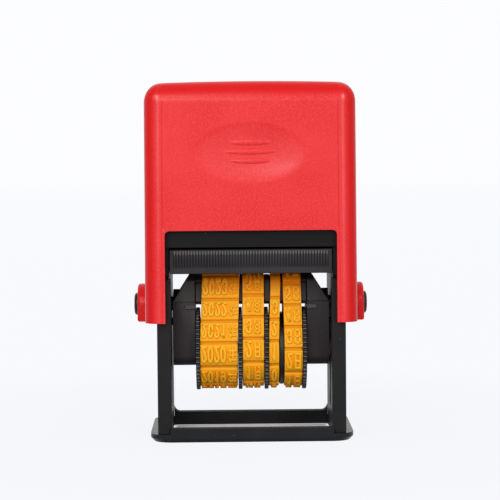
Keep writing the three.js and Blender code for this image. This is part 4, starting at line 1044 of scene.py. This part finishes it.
def makeWorld(look):
    world = bpy.data.worlds.new("studio")
    world.use_nodes = True
    scene.world = world
    graph = Graph(world.node_tree)
    seen = graph.add("ShaderNodeBackground", {"Color": look["backdrop"]})
    lit = graph.add("ShaderNodeBackground", {"Color": (1, 1, 1, 1), "Strength": look["worldLight"]})
    both = graph.add("ShaderNodeMixShader", {0: graph.seen(), 1: lit, 2: seen})
    graph.add("ShaderNodeOutputWorld", {0: both})


def makeFloor(look):
    # seen, the floor glows like the backdrop, with the lit floor mixed in near the object for its shadow
    mesh = bpy.data.meshes.new("floor")
    side = look["floorSide"]
    corners = [(side * x, side * y, 0) for x, y in ((-1, -1), (1, -1), (1, 1), (-1, 1))]
    mesh.from_pydata(corners, [], [(0, 1, 2, 3)])
    floor = bpy.data.objects.new("floor", mesh)
    scene.collection.objects.link(floor)
    grey = (*[look["floorGrey"]] * 3, 1)
    finish = Finish("paleFloor", {"Base Color": grey, "Roughness": 0.9, "Specular IOR Level": 0.1})
    away = finish.add("ShaderNodeVectorMath", {0: finish.place}, 1, operation="LENGTH")
    shade = finish.mix(finish.ease(away, 0.3, 6.0), look["table"], look["backdrop"])
    glow = finish.add("ShaderNodeEmission", {"Color": shade, "Strength": 1.0})
    bright = finish.add("ShaderNodeBsdfDiffuse", {"Color": look["table"]})
    inside = 1 - finish.ease(abs(finish.along("X")), 0.0205, 0.0225)
    inside = inside * (1 - finish.ease(abs(finish.along("Y")), 0.0125, 0.015))
    near = (1 - finish.ease(away, 0.05, 0.16)) * look["floorNear"] + inside * look["floorInside"]
    shown = finish.add("ShaderNodeMixShader", {0: near, 1: glow, 2: bright})
    finish.show(finish.add("ShaderNodeMixShader", {0: finish.seen(), 1: finish.shader, 2: shown}))
    floor.data.materials.append(finish.material)


def makeLamps(look):
    target = Vector((0, 0, 50 * mm))
    for number, (azimuth, elevation, width, height, power) in enumerate(look["lamps"]):
        light = bpy.data.lights.new(f"softbox{number}", "AREA")
        light.shape = "RECTANGLE"
        light.size, light.size_y = width, height
        light.energy = power
        obj = bpy.data.objects.new(f"softbox{number}", light)
        scene.collection.objects.link(obj)
        turn, lift = math.radians(azimuth), math.radians(elevation)
        away = Vector((math.sin(turn) * math.cos(lift), -math.cos(turn) * math.cos(lift), math.sin(lift)))
        obj.location = target + away * look["lampDistance"]
        obj.rotation_euler = away.to_track_quat("Z", "Y").to_euler()


def makeCamera(look):
    # the depth axis vanishes at the given pixel of the picture, which is 500 pixels square
    camera = bpy.data.cameras.new("camera")
    camera.lens = look["focalPixels"] / look["picture"] * look["sensor"]
    camera.sensor_width = look["sensor"]
    camera.clip_start = 0.02
    camera.clip_end = 50
    obj = bpy.data.objects.new("camera", camera)
    scene.collection.objects.link(obj)
    right, down = [(look["picture"] / 2 - pixel) / look["focalPixels"] for pixel in look["centre"]]
    turn = Vector((right, 1, -down)).normalized().to_track_quat("-Z", "Y").to_matrix().to_4x4()
    roll = Matrix.Rotation(math.radians(-look["roll"]), 4, "Z")
    obj.matrix_world = Matrix.Translation(Vector(look["position"]) * mm) @ turn @ roll
    scene.camera = obj


makeWorld(studio)
makeFloor(studio)
makeLamps(studio)
makeCamera(view)
scene.view_settings.view_transform = "Standard"
print("stage: studio made")
